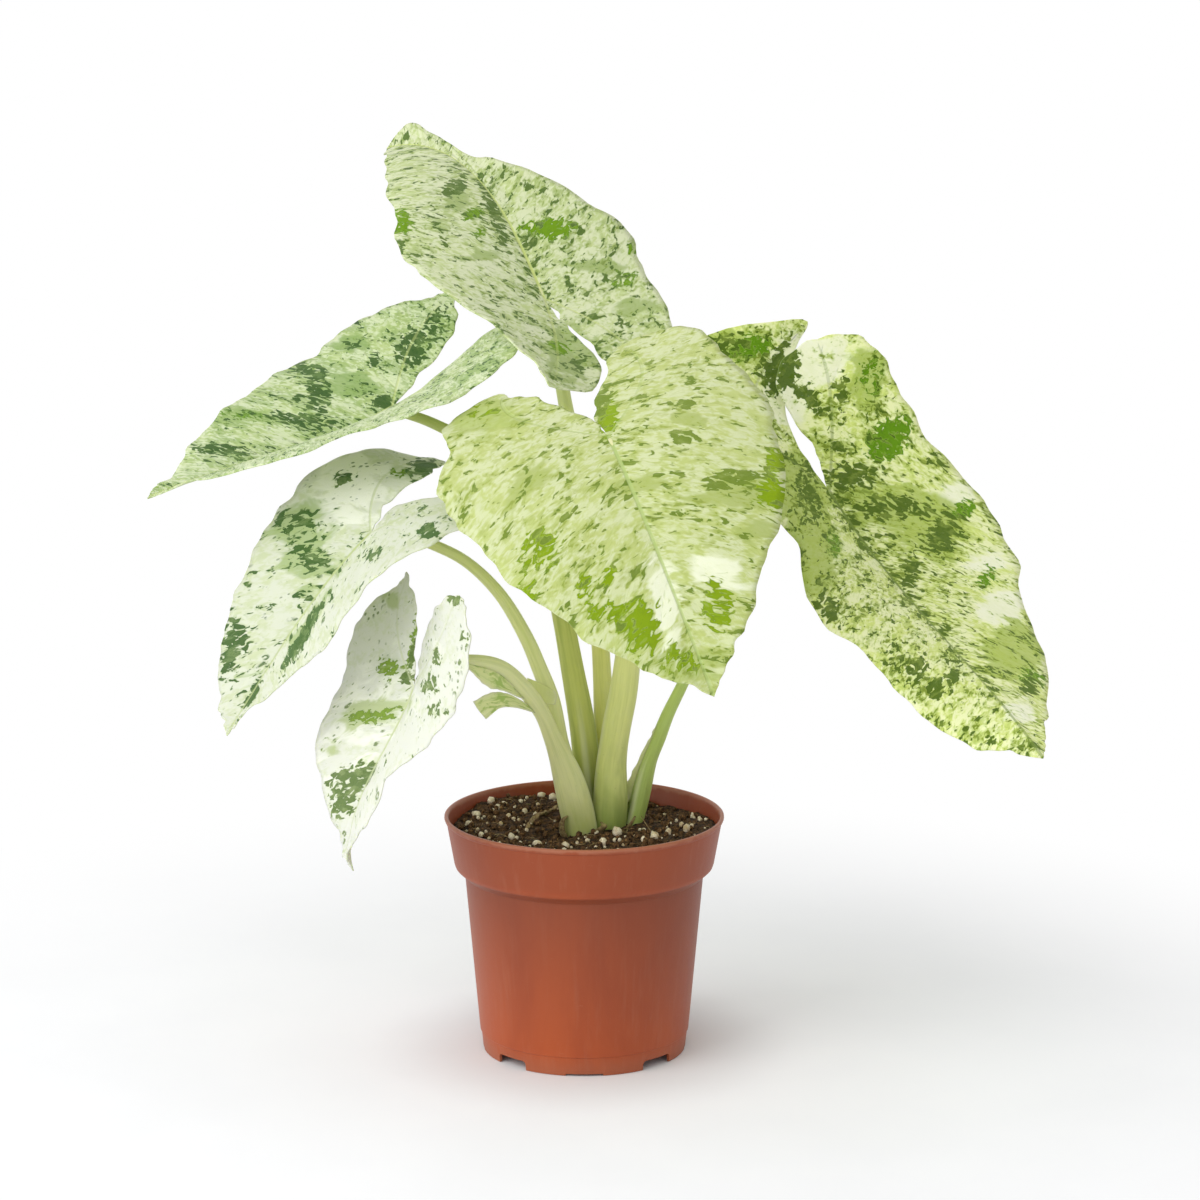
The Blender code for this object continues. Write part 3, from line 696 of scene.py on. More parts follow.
@dataclass(frozen=True)
class LeafFinish:
    """Colours and marks of one blade.

    Attributes:
        ground: the palest colour.
        tint: the colour that the ground drifts to.
        wash: soft green of broad smears and of the halos round the marks.
        fleck: olive of the loose flecks all over the blade.
        vivid: bright green of the lively marks.
        dark: deep green of the strong marks.
        rib: colour of the midrib.
        tinted: how much of the ground is tinted, from -0.3 to 0.3.
        mottle: how much of the blade is mottled, from -2 for hardly any to 0.2.
        flecks: how much of it has loose olive flecks, from -4 for hardly any to -1.
        specks: how much of it has loose dark specks, from -3 for hardly any to -1.
        streaks: strength of the thin streaks along the veins, from 0 to 1.
        dots: strength of the small round dots, from 0 to 1.
        lined: how much the marks crowd along the main veins, from 0 to 1.
        roundness: shape of the marks, from 0.4 for streaks to 1.2 for round spots.
        fineness: how small the marks' pieces are; 1 for about 3 mm.
        rosettes: strength of the small broken rings, from 0 to 1.
    """

    ground: Colour
    tint: Colour
    wash: Colour
    fleck: Colour
    vivid: Colour
    dark: Colour
    rib: Colour
    tinted: float
    mottle: float
    flecks: float
    specks: float
    streaks: float
    dots: float
    lined: float
    roundness: float
    fineness: float
    rosettes: float = 0.0

    def material(self, name: str) -> bpy.types.Material:
        """The blade's material, which reads its UV maps "veins" and "sheet", and its marks."""
        made, s, shader = new_material(name)
        vivid_pale = mixed(self.vivid, self.tint, 0.55)  # the vivid green where it thins out
        vivid_rim = mixed(self.vivid, self.dark, 0.45)  # rims and mottling of the lively marks
        dark_pale = mixed(self.dark, self.fleck, 0.4)  # inside the rims of the strong marks
        dark_light = mixed(self.dark, self.wash, 0.65)  # lighter islands in the strong marks
        fleck_deep = mixed(self.fleck, self.dark, 0.5)  # the olive where it is thick
        fleck_bright = mixed(self.fleck, vivid_pale, 0.55)  # the olive turning to the lively green
        thin_colour = mixed(self.fleck, self.wash, 0.5)  # the thin streaks
        # The white areas are the leaves' own white, made this white also to lift the shaded lobes of
        # the middle-left and lower-left leaves: partly painted light.
        white_and_painted_light = mixed(self.ground, shade(246, 247, 238), 0.65)  # the nearly white areas
        veins, sheet = s.layout("veins"), s.layout("sheet")
        fine, long = self.fineness, self.fineness * self.roundness
        smear = s.drift(sheet, (0.12, 0.12 * self.roundness, 1), (3, 7, 0), 3.2, 0.54, 0.6)
        blotch = s.drift(sheet, (0.32 * fine, 0.36 * long, 1), (41, 23, 0), 2.6, 0.52, 0.7)
        small = s.drift(sheet, (0.44 * fine, 0.48 * long, 1), (17, 29, 0), 2.2, 0.5, 0.7)
        hue = s.drift(sheet, (0.2, 0.2 * self.roundness, 1), (61, 13, 0), 3.0, 0.6, 0.5)
        streak = s.drift(veins, (1.3, 0.2, 1), (11, 5, 0), 3.0, 0.6, 0.5)
        grit = s.drift(sheet, (1.25, 0.8, 1), (5, 17, 0), 3.0, 0.65, 0.4)
        away = s.add("ShaderNodeSeparateXYZ")
        s.feed(away.inputs[0], veins)
        out = s.maths("ABSOLUTE", away.outputs["Y"])
        beside = s.times(s.rest(s.rise(out, 0.5, 11.0)), s.reading("rib_share"))
        beside = s.times(beside, self.lined)

        ground = s.marbled(
            s.stretched(sheet, (0.1, 0.065, 1)), self.ground, self.tint,
            s.plus(s.swing(small, 0.9), self.tinted),
        )
        lime = s.torn(s.reading(Mark.LIME.value), smear, 4.0, 0.5)
        colour = s.laid(lime.mask, 0.65, ground, vivid_pale)
        white = s.torn(s.reading(Mark.WHITE.value), smear, 4.5, 0.4).mask
        colour = s.laid(white, 0.8, colour, white_and_painted_light)
        calm = s.rest(s.times(white, 0.8))
        hush = s.times(white, -0.8)

        wash = s.torn(s.reading(Mark.WASH.value), smear, 4.5, 0.35)
        colour = s.laid(wash.mask, 0.8, colour, self.wash)

        drift = s.plus(s.swing(smear, 5.5), self.mottle)
        drift = s.plus(drift, s.plus(hush, beside))
        mottled = s.torn(drift, small, 4.0, 0.55)
        colour = s.laid(mottled.mask, 0.55, colour, self.wash)

        thin = s.rise(s.plus(streak, s.times(hue, 0.6)), 0.86, 0.93)
        thin = s.times(thin, s.times(calm, self.streaks))
        colour = s.blend(thin, colour, thin_colour)

        crowd = s.swing(smear, 6.0)
        near = s.maths("MAXIMUM", s.reading(Mark.DARK.value), s.reading(Mark.VIVID.value))
        close = s.times(s.plus(near, 1.0), 0.3)
        crowd = s.plus(crowd, s.plus(hush, beside))
        flecked = s.plus(s.plus(crowd, self.flecks), close)
        fleck = s.torn(flecked, small, 8.0, 0.16)
        olive = s.blend(s.rise(hue, 0.44, 0.6), self.fleck, fleck_bright)
        olive = s.laid(fleck.core, 0.5, olive, fleck_deep)
        colour = s.laid(fleck.halo, 0.22, colour, fleck_bright)
        colour = s.laid(fleck.mask, 0.85, colour, olive)

        vivid = s.torn(self._sparing(s, Mark.VIVID), blotch, 9.0, 0.16)
        colour = s.laid(vivid.halo, 0.4, colour, vivid_pale)
        lively = s.blend(vivid.core, vivid_rim, self.vivid)
        lively = s.laid(s.rise(grit, 0.5, 0.66), 0.55, lively, vivid_rim)
        colour = s.blend(vivid.mask, colour, lively)

        loose = s.plus(self.specks, s.plus(crowd, beside))
        hushed = s.plus(s.reading(Mark.WHITE.value), 1.0)
        loose = s.minus(loose, s.times(hushed, 0.6))
        dark = s.torn(s.maths("MAXIMUM", self._sparing(s, Mark.DARK), loose), blotch, 9.0, 0.16)
        colour = s.laid(dark.halo, 0.5, colour, self.wash)
        deep = s.laid(dark.core, 0.6, self.dark, dark_pale)
        deep = s.laid(s.rise(hue, 0.5, 0.62), 0.5, deep, dark_light)
        deep = s.laid(s.rise(grit, 0.5, 0.64), 0.5, deep, self.dark)
        colour = s.laid(dark.mask, 0.95, colour, deep)

        dot = s.cells(s.stretched(sheet, (0.40, 0.34, 1)))
        chosen = s.rise(s.drift(sheet, (0.12, 0.1, 1), (9, 9, 0)), 0.52, 0.64)
        dot = s.times(s.rest(s.rise(dot, 0.19, 0.29)), chosen)
        colour = s.laid(dot, self.dots, colour, dark_pale)
        ring = s.plus(s.cells(s.stretched(sheet, (0.19, 0.17, 1), (2, 6, 0))), s.swing(small, 0.35))
        ring = s.times(s.rise(ring, 0.07, 0.13), s.rest(s.rise(ring, 0.24, 0.31)))
        picked = s.rise(s.drift(sheet, (0.07, 0.07, 1), (19, 4, 0)), 0.56, 0.62)
        ring = s.times(s.times(ring, s.rise(grit, 0.32, 0.4)), picked)
        colour = s.laid(ring, self.rosettes, colour, dark_pale)

        rib = s.rest(s.rise(out, 0.45, 1.15))
        colour = s.laid(rib, s.reading("rib_share"), colour, self.rib)
        lateral = s.rise(s.reading("vein_line"), 0.9, 1.0)
        colour = s.laid(lateral, 0.3, colour, self.rib)

        under = s.reading("underside")
        colour = s.blend(under, colour, s.blend(0.4, colour, shade(206, 216, 168)))
        s.feed(shader.inputs["Base Color"], colour)

        middle = s.plus(0.52, s.times(under, 0.16))
        grain = s.grained(shader, s.stretched(veins, (2.2, 1.1, 1)), middle, 0.22)
        relief = s.plus(s.times(grain, 0.35), s.times(rib, -0.5))
        relief = s.plus(relief, s.times(smear, 0.5))
        relief = s.minus(relief, s.times(lateral, 0.35))
        bumped(s, shader, relief, 0.00035)
        preset(
            shader, Specular_IOR_Level=0.14, Subsurface_Weight=0.95,
            Subsurface_Radius=(1.0, 1.0, 0.8), Subsurface_Scale=0.0006,
        )
        return made

    def _sparing(self, s: Sketch, mark: Mark) -> Socket:
        """The level of a kind of mark, lowered where there is none so that noise brings none up."""
        level = s.reading(mark.value)
        return s.plus(level, s.times(s.maths("MINIMUM", level, 0.0), 1.2))


@dataclass
class LeafBlade:
    """An arrow-shaped blade: a thin, folded, veined and rippled sheet with a hanging tip."""

    shape: LeafShape
    finish: LeafFinish
    patches: tuple[Patch, ...]
    steps: int = 11
    columns: int = 20
    thickness: float = 0.55
    vein_height: float = 0.45
    veins_per_step: float = 1.25

    def build(self) -> bpy.types.Object:
        """The finished piece, in place of its CAD node."""
        bm = bmesh.new()
        layers = {mark: bm.verts.layers.float.new(mark.value) for mark in Mark}
        rib_share = bm.verts.layers.float.new("rib_share")
        vein_line = bm.verts.layers.float.new("vein_line")
        uv = bm.loops.layers.uv.new("veins")
        flat_uv = bm.loops.layers.uv.new("sheet")
        for side in (1, -1):
            grid = []
            for row in self._rows(side):
                signed = row["flat"] * (1, side)
                fields = {mark: self._field(mark, signed) for mark in Mark}
                line = []
                for j, point in enumerate(row["places"]):
                    vert = bm.verts.new(point)
                    for mark, values in fields.items():
                        vert[layers[mark]] = values[j]
                    vert[rib_share] = row["rib"]
                    vert[vein_line] = row["line"][j]
                    line.append((vert, row["uv"][j], row["sheet"][j]))
                grid.append(line)
            for corners in quads(grid):
                corners = corners[::-1] if side > 0 else corners
                face = bm.faces.new([vert for vert, _, _ in corners])
                for loop, (_, at, over) in zip(face.loops, corners):
                    loop[uv].uv = at
                    loop[flat_uv].uv = over
        bmesh.ops.remove_doubles(bm, verts=bm.verts, dist=0.02)
        bmesh.ops.dissolve_degenerate(bm, edges=bm.edges, dist=0.01)
        obj = mesh_object(f"leaf_blade_{self.shape.name}", bm)
        self._thicken(obj)
        return dressed(
            obj, self.finish.material(f"leaf surface {self.shape.name}"), "leaf",
            f"blade_{self.shape.name}",
        )

    def _thicken(self, obj: bpy.types.Object) -> None:
        """Give the sheet its thickness and mark its underside."""
        below = obj.vertex_groups.new(name="below")
        thickened(obj, self.thickness, use_even_offset=False, shell_vertex_group=below.name)
        values = np.zeros(len(obj.data.vertices), np.float32)
        for vert in obj.data.vertices:
            for member in vert.groups:
                values[vert.index] = member.weight
        carry(obj, "underside", values)

    def _field(self, mark: Mark, signed: np.ndarray) -> np.ndarray:
        """How dense one kind of mark is at signed flat points, from -1 to 2."""
        value = np.full(len(signed), -1.0)
        for patch in self.patches:
            if patch.mark is mark:
                value = value + patch.strength(signed)
        return np.minimum(value, 2.0)

    def _slant(self, at: float) -> float:
        """How many outline steps a side vein moves on between the main vein and the margin."""
        front = 1.05 * float(smoothstep((at - 5.0) / 1.6))
        back = -0.75 * float(smoothstep((at - 3.0) / 0.9) * smoothstep((5.4 - at) / 0.9))
        inner = 0.5 * float(smoothstep(at / 0.8) * smoothstep((3.0 - at) / 0.8))
        return front + back + inner

    def _spread(self, roots: np.ndarray, margin: np.ndarray) -> np.ndarray:
        """How far apart the rows lie, added up from the first one, in millimetres."""
        arms = margin - roots
        arms = arms / np.maximum(np.linalg.norm(arms, axis=1), 1e-6)[:, None]
        steps = np.diff(0.4 * roots + 0.6 * margin, axis=0)
        apart = np.abs(steps[:, 0] * arms[1:, 1] - steps[:, 1] * arms[1:, 0])
        return np.concatenate([[0], np.cumsum(apart + 0.25 * np.linalg.norm(steps, axis=1))])

    def _rows(self, side: int) -> list[dict]:
        """Rows of points over one half, each row from a main vein out to the margin.

        Args:
            side: +1 for the left half, -1 for the right.

        Returns:
            For each row its flat points, places, UVs, vein lines and the rib's strength.
        """
        shape, to_tip = self.shape, 3 * self.steps
        margin = shape.outline(side, self.steps)
        vein = shape.lobe_vein(side, to_tip)
        last = len(margin) - 1
        across = np.linspace(0, 1, self.columns + 1) ** 1.3
        x = np.clip((np.arange(last + 1) - 2 * to_tip) / (last - 2 * to_tip), 0, 1)
        roots = np.column_stack([shape.length * (x + x**6 * (1 - x)), 0 * x])
        roots[: 2 * to_tip + 1] = [vein[to_tip - abs(i - to_tip)] for i in range(2 * to_tip + 1)]
        spread = self._spread(roots, margin)
        rows = []
        for i, (root, edge) in enumerate(zip(roots, margin)):
            at = i / self.steps
            in_lobe = i <= 2 * to_tip
            rib = 0.55 - 0.35 * (1 - abs(i - to_tip) / to_tip) if in_lobe else 1.0 - 0.45 * x[i]
            travelled = i / last
            ends = smoothstep(travelled / 0.06) * (1 - smoothstep((travelled - 0.92) / 0.08))
            wander = 0.55 * math.sin(61 * travelled + 2 * side)
            wander = wander + 0.4 * math.sin(97 * travelled + shape.length)
            wander += 2.4 * noise.noise(Vector((38 * travelled, 5 * side, shape.length)))
            outward = (edge - root) / max(np.linalg.norm(edge - root), 1.0)
            edge = edge + outward * wander * ends
            flat = root + np.outer(across, edge - root)
            weight = smoothstep((at - 3) / 2) * (1 - smoothstep((travelled - 0.9) / 0.1))
            wave = math.sin(2 * math.pi * shape.waves * travelled + side)
            small = 0.35 * ends * math.sin(2 * math.pi * 9.3 * travelled + 1.7 * side)
            ripple = (shape.ripple * weight * wave + small) * across**3
            turn = at - self._slant(at) * across
            phase = turn * self.veins_per_step
            width = float(np.linalg.norm(edge - root))
            swell = smoothstep(width / 22) * np.sin(math.pi * np.clip(across, 0, 1)) ** 0.7
            vein_line = (0.5 + 0.5 * np.cos(2 * math.pi * phase)) ** 3
            ripple = ripple - self.vein_height * swell * vein_line
            off = np.abs(phase - np.round(phase)) * 2
            along, out = flat[:, 0], flat[:, 1]
            skewed = along - 0.5 * smoothstep((along + 60) / 110) * out
            round_it = np.interp(turn * self.steps, np.arange(last + 1), spread)
            rows.append({
                "flat": flat,
                "places": shape.bent(flat, side, ripple),
                "uv": np.stack([round_it + 400 * (1 - side), width * across], 1),
                "sheet": np.stack([skewed, out * side], 1),
                "line": 1 - off * (0.7 + 1.6 * across),
                "rib": rib,
            })
        return rows


@dataclass(frozen=True)
class PetioleFinish:
    """Colours of one petiole from its foot up.

    Attributes:
        foot: colour at the soil.
        middle: colour of its main length.
        top: colour under the blade.
        stripe: colour of the long stripes.
        stripes: strength of the stripes.
        blotches: strength of the broad blotches.
    """

    foot: Colour
    middle: Colour
    top: Colour
    stripe: Colour
    stripes: float = 0.6
    blotches: float = 0.0

    def material(self, name: str) -> bpy.types.Material:
        """The petiole's material, which reads its own UV map: round it and along it."""
        made, s, shader = new_material(name)
        skin = s.layout("skin")
        rise = s.reading("rise")
        wander = s.drift(skin, (0.22, 0.03, 1))
        level = s.plus(rise, s.swing(wander, 0.35))
        colour = s.blend(s.rise(level, 0.0, 0.24), self.foot, self.middle)
        colour = s.blend(s.rise(level, 0.3, 0.95), colour, self.top)
        bands = s.drift(skin, (0.42, 0.012, 1), (3, 1, 0), 3.0, 0.6)
        colour = s.laid(s.rise(bands, 0.46, 0.68), 0.6 * self.stripes, colour, self.stripe)
        fibres = s.drift(skin, (2.2, 0.05, 1), (7, 2, 0), 4.0, 0.65)
        fibre_share = s.times(s.rise(fibres, 0.48, 0.7), 0.24)
        colour = s.blend(fibre_share, colour, self.stripe)
        specks = s.drift(skin, (0.9, 0.35, 1), (1, 9, 0), 4.0, 0.6)
        colour = s.laid(s.rise(specks, 0.66, 0.72), 0.35, colour, self.foot)
        blotch = s.rise(s.drift(skin, (0.22, 0.16, 1), (5, 8, 0), 4.0, 0.6, 0.5), 0.47, 0.6)
        colour = s.laid(blotch, self.blotches, colour, self.stripe)
        seam = s.reading("sheath_seam")
        colour = s.laid(seam, 0.65, colour, shade(98, 116, 62))
        colour = s.laid(s.reading("pale_edge"), 0.7, colour, shade(224, 226, 190))
        s.feed(shader.inputs["Base Color"], colour)
        grain = s.grained(shader, s.stretched(skin, (1.6, 0.12, 1)), 0.43, 0.2)
        relief = s.plus(s.times(fibres, 0.7), s.times(grain, 0.3))
        bumped(s, shader, relief, 0.00025)
        preset(
            shader, Specular_IOR_Level=0.2, Subsurface_Weight=0.7,
            Subsurface_Radius=(1.0, 1.0, 0.6), Subsurface_Scale=0.003,
        )
        return made


CROWN_CENTRE = (8.5, 8.0)
STUMP_LEAN = 0.25


@dataclass
class Petiole:
    """A leaf stalk: a grooved tube, sheathed at its foot, that runs on under the blade as its rib."""

    shape: LeafShape
    finish: PetioleFinish
    sheath_top: float = 60.0  # how far up the sheath's margins reach
    groove: float = 0.30
    flare: float = 0.0  # how much wider the sheath's margins make the foot
    swell: float = 0.0  # how much thicker the whole foot is
    buried: float = 91.0
    steps: int = 9
    sides: int = 26
    unrolled: float = 22.0  # width of the skin's UV map

    def build(self) -> bpy.types.Object:
        """The finished piece, in place of its CAD node."""
        shape = self.shape
        bm = bmesh.new()
        names = ("rise", "sheath_seam", "pale_edge")
        layers = tuple(bm.verts.layers.float.new(name) for name in names)
        uv = bm.loops.layers.uv.new("skin")
        self._tube(bm, layers, uv, self._path(), stalk=True)
        for side in (1, -1):
            self._tube(bm, layers, uv, self._lobe_path(side), stalk=False)
        bmesh.ops.recalc_face_normals(bm, faces=bm.faces)
        obj = mesh_object(f"leaf_stalk_{shape.name}", bm)
        return dressed(
            obj, self.finish.material(f"stalk skin {shape.name}"), "petiole", f"petiole_{shape.name}"
        )

    def _under(self, along: float, radius: float) -> Point:
        """A point and radius of the rib under the blade at a distance along the midrib."""
        centre, _, _, up = (rows[0] for rows in self.shape.midrib(np.array([along])))
        return (*(centre - up * (radius + 0.12)), radius)

    def _path(self) -> np.ndarray:
        """Centres and radii from below the soil up to the blade and on along the midrib."""
        shape = self.shape
        x, y, _, radius = shape.stations[0]
        centre_x, centre_y = CROWN_CENTRE
        foot = (
            x + STUMP_LEAN * (centre_x - x), y + STUMP_LEAN * (centre_y - y), self.buried,
            radius * 0.92,
        )
        end = shape.stations[-1][3]
        length = shape.length
        ahead = [
            self._under(1.0, 0.82 * end), self._under(0.09 * length, 0.56 * end),
            self._under(0.25 * length, 0.42 * end), self._under(0.5 * length, 0.30 * end),
            self._under(0.72 * length, 0.19 * end), self._under(0.88 * length, 0.09 * end),
        ]
        return spline([foot, *shape.stations, *ahead], self.steps)

    def _lobe_path(self, side: int) -> np.ndarray:
        """Centres and radii of the rib under one lobe."""
        shape = self.shape
        flat = shape.lobe_vein(side, 8)[:7]
        radii = np.linspace(0.42, 0.1, len(flat)) * shape.stations[-1][3]
        places = shape.bent(flat, side, np.zeros(len(flat)))
        up = shape.midrib(flat[:, 0])[3]
        return spline(np.column_stack([places - up * (radii + 0.14)[:, None], radii]), 3)

    def _tube(self, bm: BMesh, layers: tuple, uv: object, path: np.ndarray, stalk: bool) -> None:
        """Add a closed tube along a path to the mesh.

        Args:
            bm: the mesh.
            layers: its number layers: rise, sheath seam and pale edge.
            uv: its UV layer.
            path: centres and radii.
            stalk: True for the stalk, which has the sheath and its groove.
        """
        centres, radii = path[:, :3], path[:, 3]
        tangents = np.gradient(centres, axis=0)
        tangents /= np.linalg.norm(tangents, axis=1)[:, None]
        inward = np.array([*CROWN_CENTRE, 0.0]) - (*centres[0, :2], 0)
        normal = inward if np.linalg.norm(inward) > 0.5 else np.array([0.0, -1.0, 0.0])
        travelled = np.concatenate([[0], np.cumsum(np.linalg.norm(np.diff(centres, axis=0), axis=1))])
        whole = travelled[-1] if not stalk else np.interp(
            len(self.shape.stations) * self.steps, np.arange(len(travelled)), travelled
        )
        angles = np.linspace(-math.pi, math.pi, self.sides + 1)
        rings = []
        for centre, tangent, radius, along in zip(centres, tangents, radii, travelled):
            normal = normal - tangent * (normal @ tangent)
            normal = normal / np.linalg.norm(normal)
            across = np.cross(tangent, normal)
            factor, seam, pale = np.ones_like(angles), *np.zeros((2, len(angles)))
            if stalk:
                factor, seam, pale = self._section(angles, along)
            ring = []
            for angle, wide, dark, light in zip(angles[:-1], factor, seam, pale):
                arm = normal * math.cos(angle) + across * math.sin(angle)
                vert = bm.verts.new(centre + arm * radius * wide)
                share = along / whole if stalk else 1.0
                vert[layers[0]], vert[layers[1]], vert[layers[2]] = min(share, 1.0), dark, light
                ring.append(vert)
            rings.append((ring, along, radius))
        for (near, low, narrow), (far, high, wide) in zip(rings, rings[1:]):
            for j, corners in enumerate(hoop(near, far)):
                face = bm.faces.new(corners)
                places = ((j, low), (j + 1, low), (j + 1, high), (j, high))
                for loop, (step, at) in zip(face.loops, places):
                    loop[uv].uv = (step / self.sides * self.unrolled, at)
        bm.faces.new(rings[0][0][::-1])
        bm.faces.new(rings[-1][0])

    def _section(self, angles: np.ndarray, along: float) -> tuple[np.ndarray, np.ndarray, np.ndarray]:
        """Radius factors, seam and pale-edge strengths round the stalk at a distance up it."""
        sheath = 1 - float(smoothstep((along / self.sheath_top - 0.55) / 0.45))
        groove = self.groove * (0.25 + 0.75 * sheath)
        dip = np.exp(-((angles / 0.45) ** 2))
        edge = np.exp(-(((np.abs(angles) - 0.85) / 0.2) ** 2)) * sheath
        spread = self.flare * sheath * np.exp(-(((np.abs(angles) - 1.1) / 0.7) ** 2))
        facets = 0.012 * np.cos(5 * angles + along / 17) + 0.01 * np.cos(3 * angles - along / 29)
        seam = np.exp(-(((np.abs(angles) - 0.62) / 0.1) ** 2)) * sheath
        swell = self.swell * (1 - float(smoothstep((along - 14) / 34)))
        return (1 - groove * dip + 0.07 * edge + spread + facets) * (1 + swell), seam, edge


@dataclass
class SheathFlap:
    """A thin torn flap of a leaf sheath, curved and with an uneven free edge.

    Attributes:
        name: the piece's name.
        rows: rows of points across the flap, from its root line out, in millimetres.
        finish: its colours.
        thickness: of the sheet.
        steps: rows and columns between two given points.
    """

    name: str
    rows: tuple
    finish: PetioleFinish
    thickness: float = 0.6
    steps: int = 7

    def build(self) -> bpy.types.Object:
        """The finished piece, which stands on its petiole."""
        across = [spline(row, self.steps) for row in self.rows]
        grid = np.array([spline(line, self.steps) for line in zip(*across)])
        bm = bmesh.new()
        rise = bm.verts.layers.float.new("rise")
        pale = bm.verts.layers.float.new("pale_edge")
        uv = bm.loops.layers.uv.new("skin")
        verts = []
        for i, line in enumerate(grid):
            out = i / (len(grid) - 1)
            row = []
            for j, point in enumerate(line):
                torn = noise.noise(Vector(point) * 0.35 + Vector((out, 3, 7))) * 0.7 * out**2
                inward = (grid[0][j] - point) / max(np.linalg.norm(grid[0][j] - point), 1e-6)
                vert = bm.verts.new(point + inward * torn)
                vert[rise] = 0.55 + 0.25 * out
                vert[pale] = float(smoothstep((out - 0.8) / 0.2))
                row.append((vert, (i * 0.8, j * 1.1)))
            verts.append(row)
        for corners in quads(verts):
            face = bm.faces.new([vert for vert, _ in corners])
            for loop, (_, at) in zip(face.loops, corners):
                loop[uv].uv = at
        bmesh.ops.recalc_face_normals(bm, faces=bm.faces)
        obj = mesh_object(self.name, bm)
        thickened(obj, self.thickness)
        return dressed(obj, self.finish.material(f"{self.name} skin"), "petiole")


# ---------------------------------------------------------------- pot


@dataclass(frozen=True)
class PlasticFinish:
    """Matt moulded plastic with a faint grain, scuffs and a little dust near its foot, with painted
    shade on the band and a painted highlight along the lip.
    """

    body: Colour = shade(172, 77, 31)
    deep: Colour = shade(156, 66, 25)
    # painted shade: the whole band under the lip is painted darker, in place of the shade of the
    # leaves above
    band: Colour = shade(144, 62, 24)
    # pale scuffs and streaks, which are wear, and the painted highlight along the lip
    scuff_and_highlight: Colour = shade(180, 122, 94)
    dust: Colour = shade(154, 104, 78)
    inside: Colour = shade(120, 54, 27)

    def material(self, name: str, rim_height: float) -> bpy.types.Material:
        """The pot's material.

        Args:
            name: its name.
            rim_height: the rim's height in metres, from which the band's painted shade and the lip's
                painted highlight are placed.

        Returns:
            The material.
        """
        made, s, shader = new_material(name)
        place = s.place()
        colour = s.marbled(s.stretched(place, (26, 26, 9)), self.body, self.deep, -0.03)
        height = s.height()
        # Painted shade: the band under the lip is painted darker.
        band = s.rise(height, rim_height - 0.026, rim_height - 0.018)
        colour = s.laid(band, 0.8, colour, self.band)
        flow = s.drift(place, (300, 300, 9), rough=0.6)
        colour = s.laid(s.rise(flow, 0.5, 0.75), 0.12, colour, self.scuff_and_highlight)
        scuffs = s.drift(place, (240, 240, 700), detail=5.0, rough=0.7, warp=0.6)
        colour = s.laid(s.rise(scuffs, 0.64, 0.74), 0.25, colour, self.scuff_and_highlight)
        wobble = s.swing(s.cloud(place, 160.0, 4.0), 0.0035)
        # Painted highlight: the top of the lip is painted paler all round.
        lip = s.rise(s.plus(height, wobble), rim_height - 0.0022, rim_height - 0.0006)
        colour = s.laid(lip, 0.5, colour, self.scuff_and_highlight)
        low = s.rest(s.rise(s.plus(height, wobble), 0.0, 0.011))
        colour = s.laid(low, 0.35, colour, self.dust)
        # Painted shade: the inner wall is painted darker below the lip, where it is also damp.
        colour = s.blend(s.reading("inner_wall"), colour, self.inside)
        s.feed(shader.inputs["Base Color"], colour)
        grain = s.grained(shader, s.stretched(place, (1500, 1500, 1500)), 0.46, 0.16)
        relief = s.plus(s.times(grain, 0.4), s.times(flow, 0.3))
        bumped(s, shader, relief, 0.00012)
        preset(shader, Specular_IOR_Level=0.45)
        return made


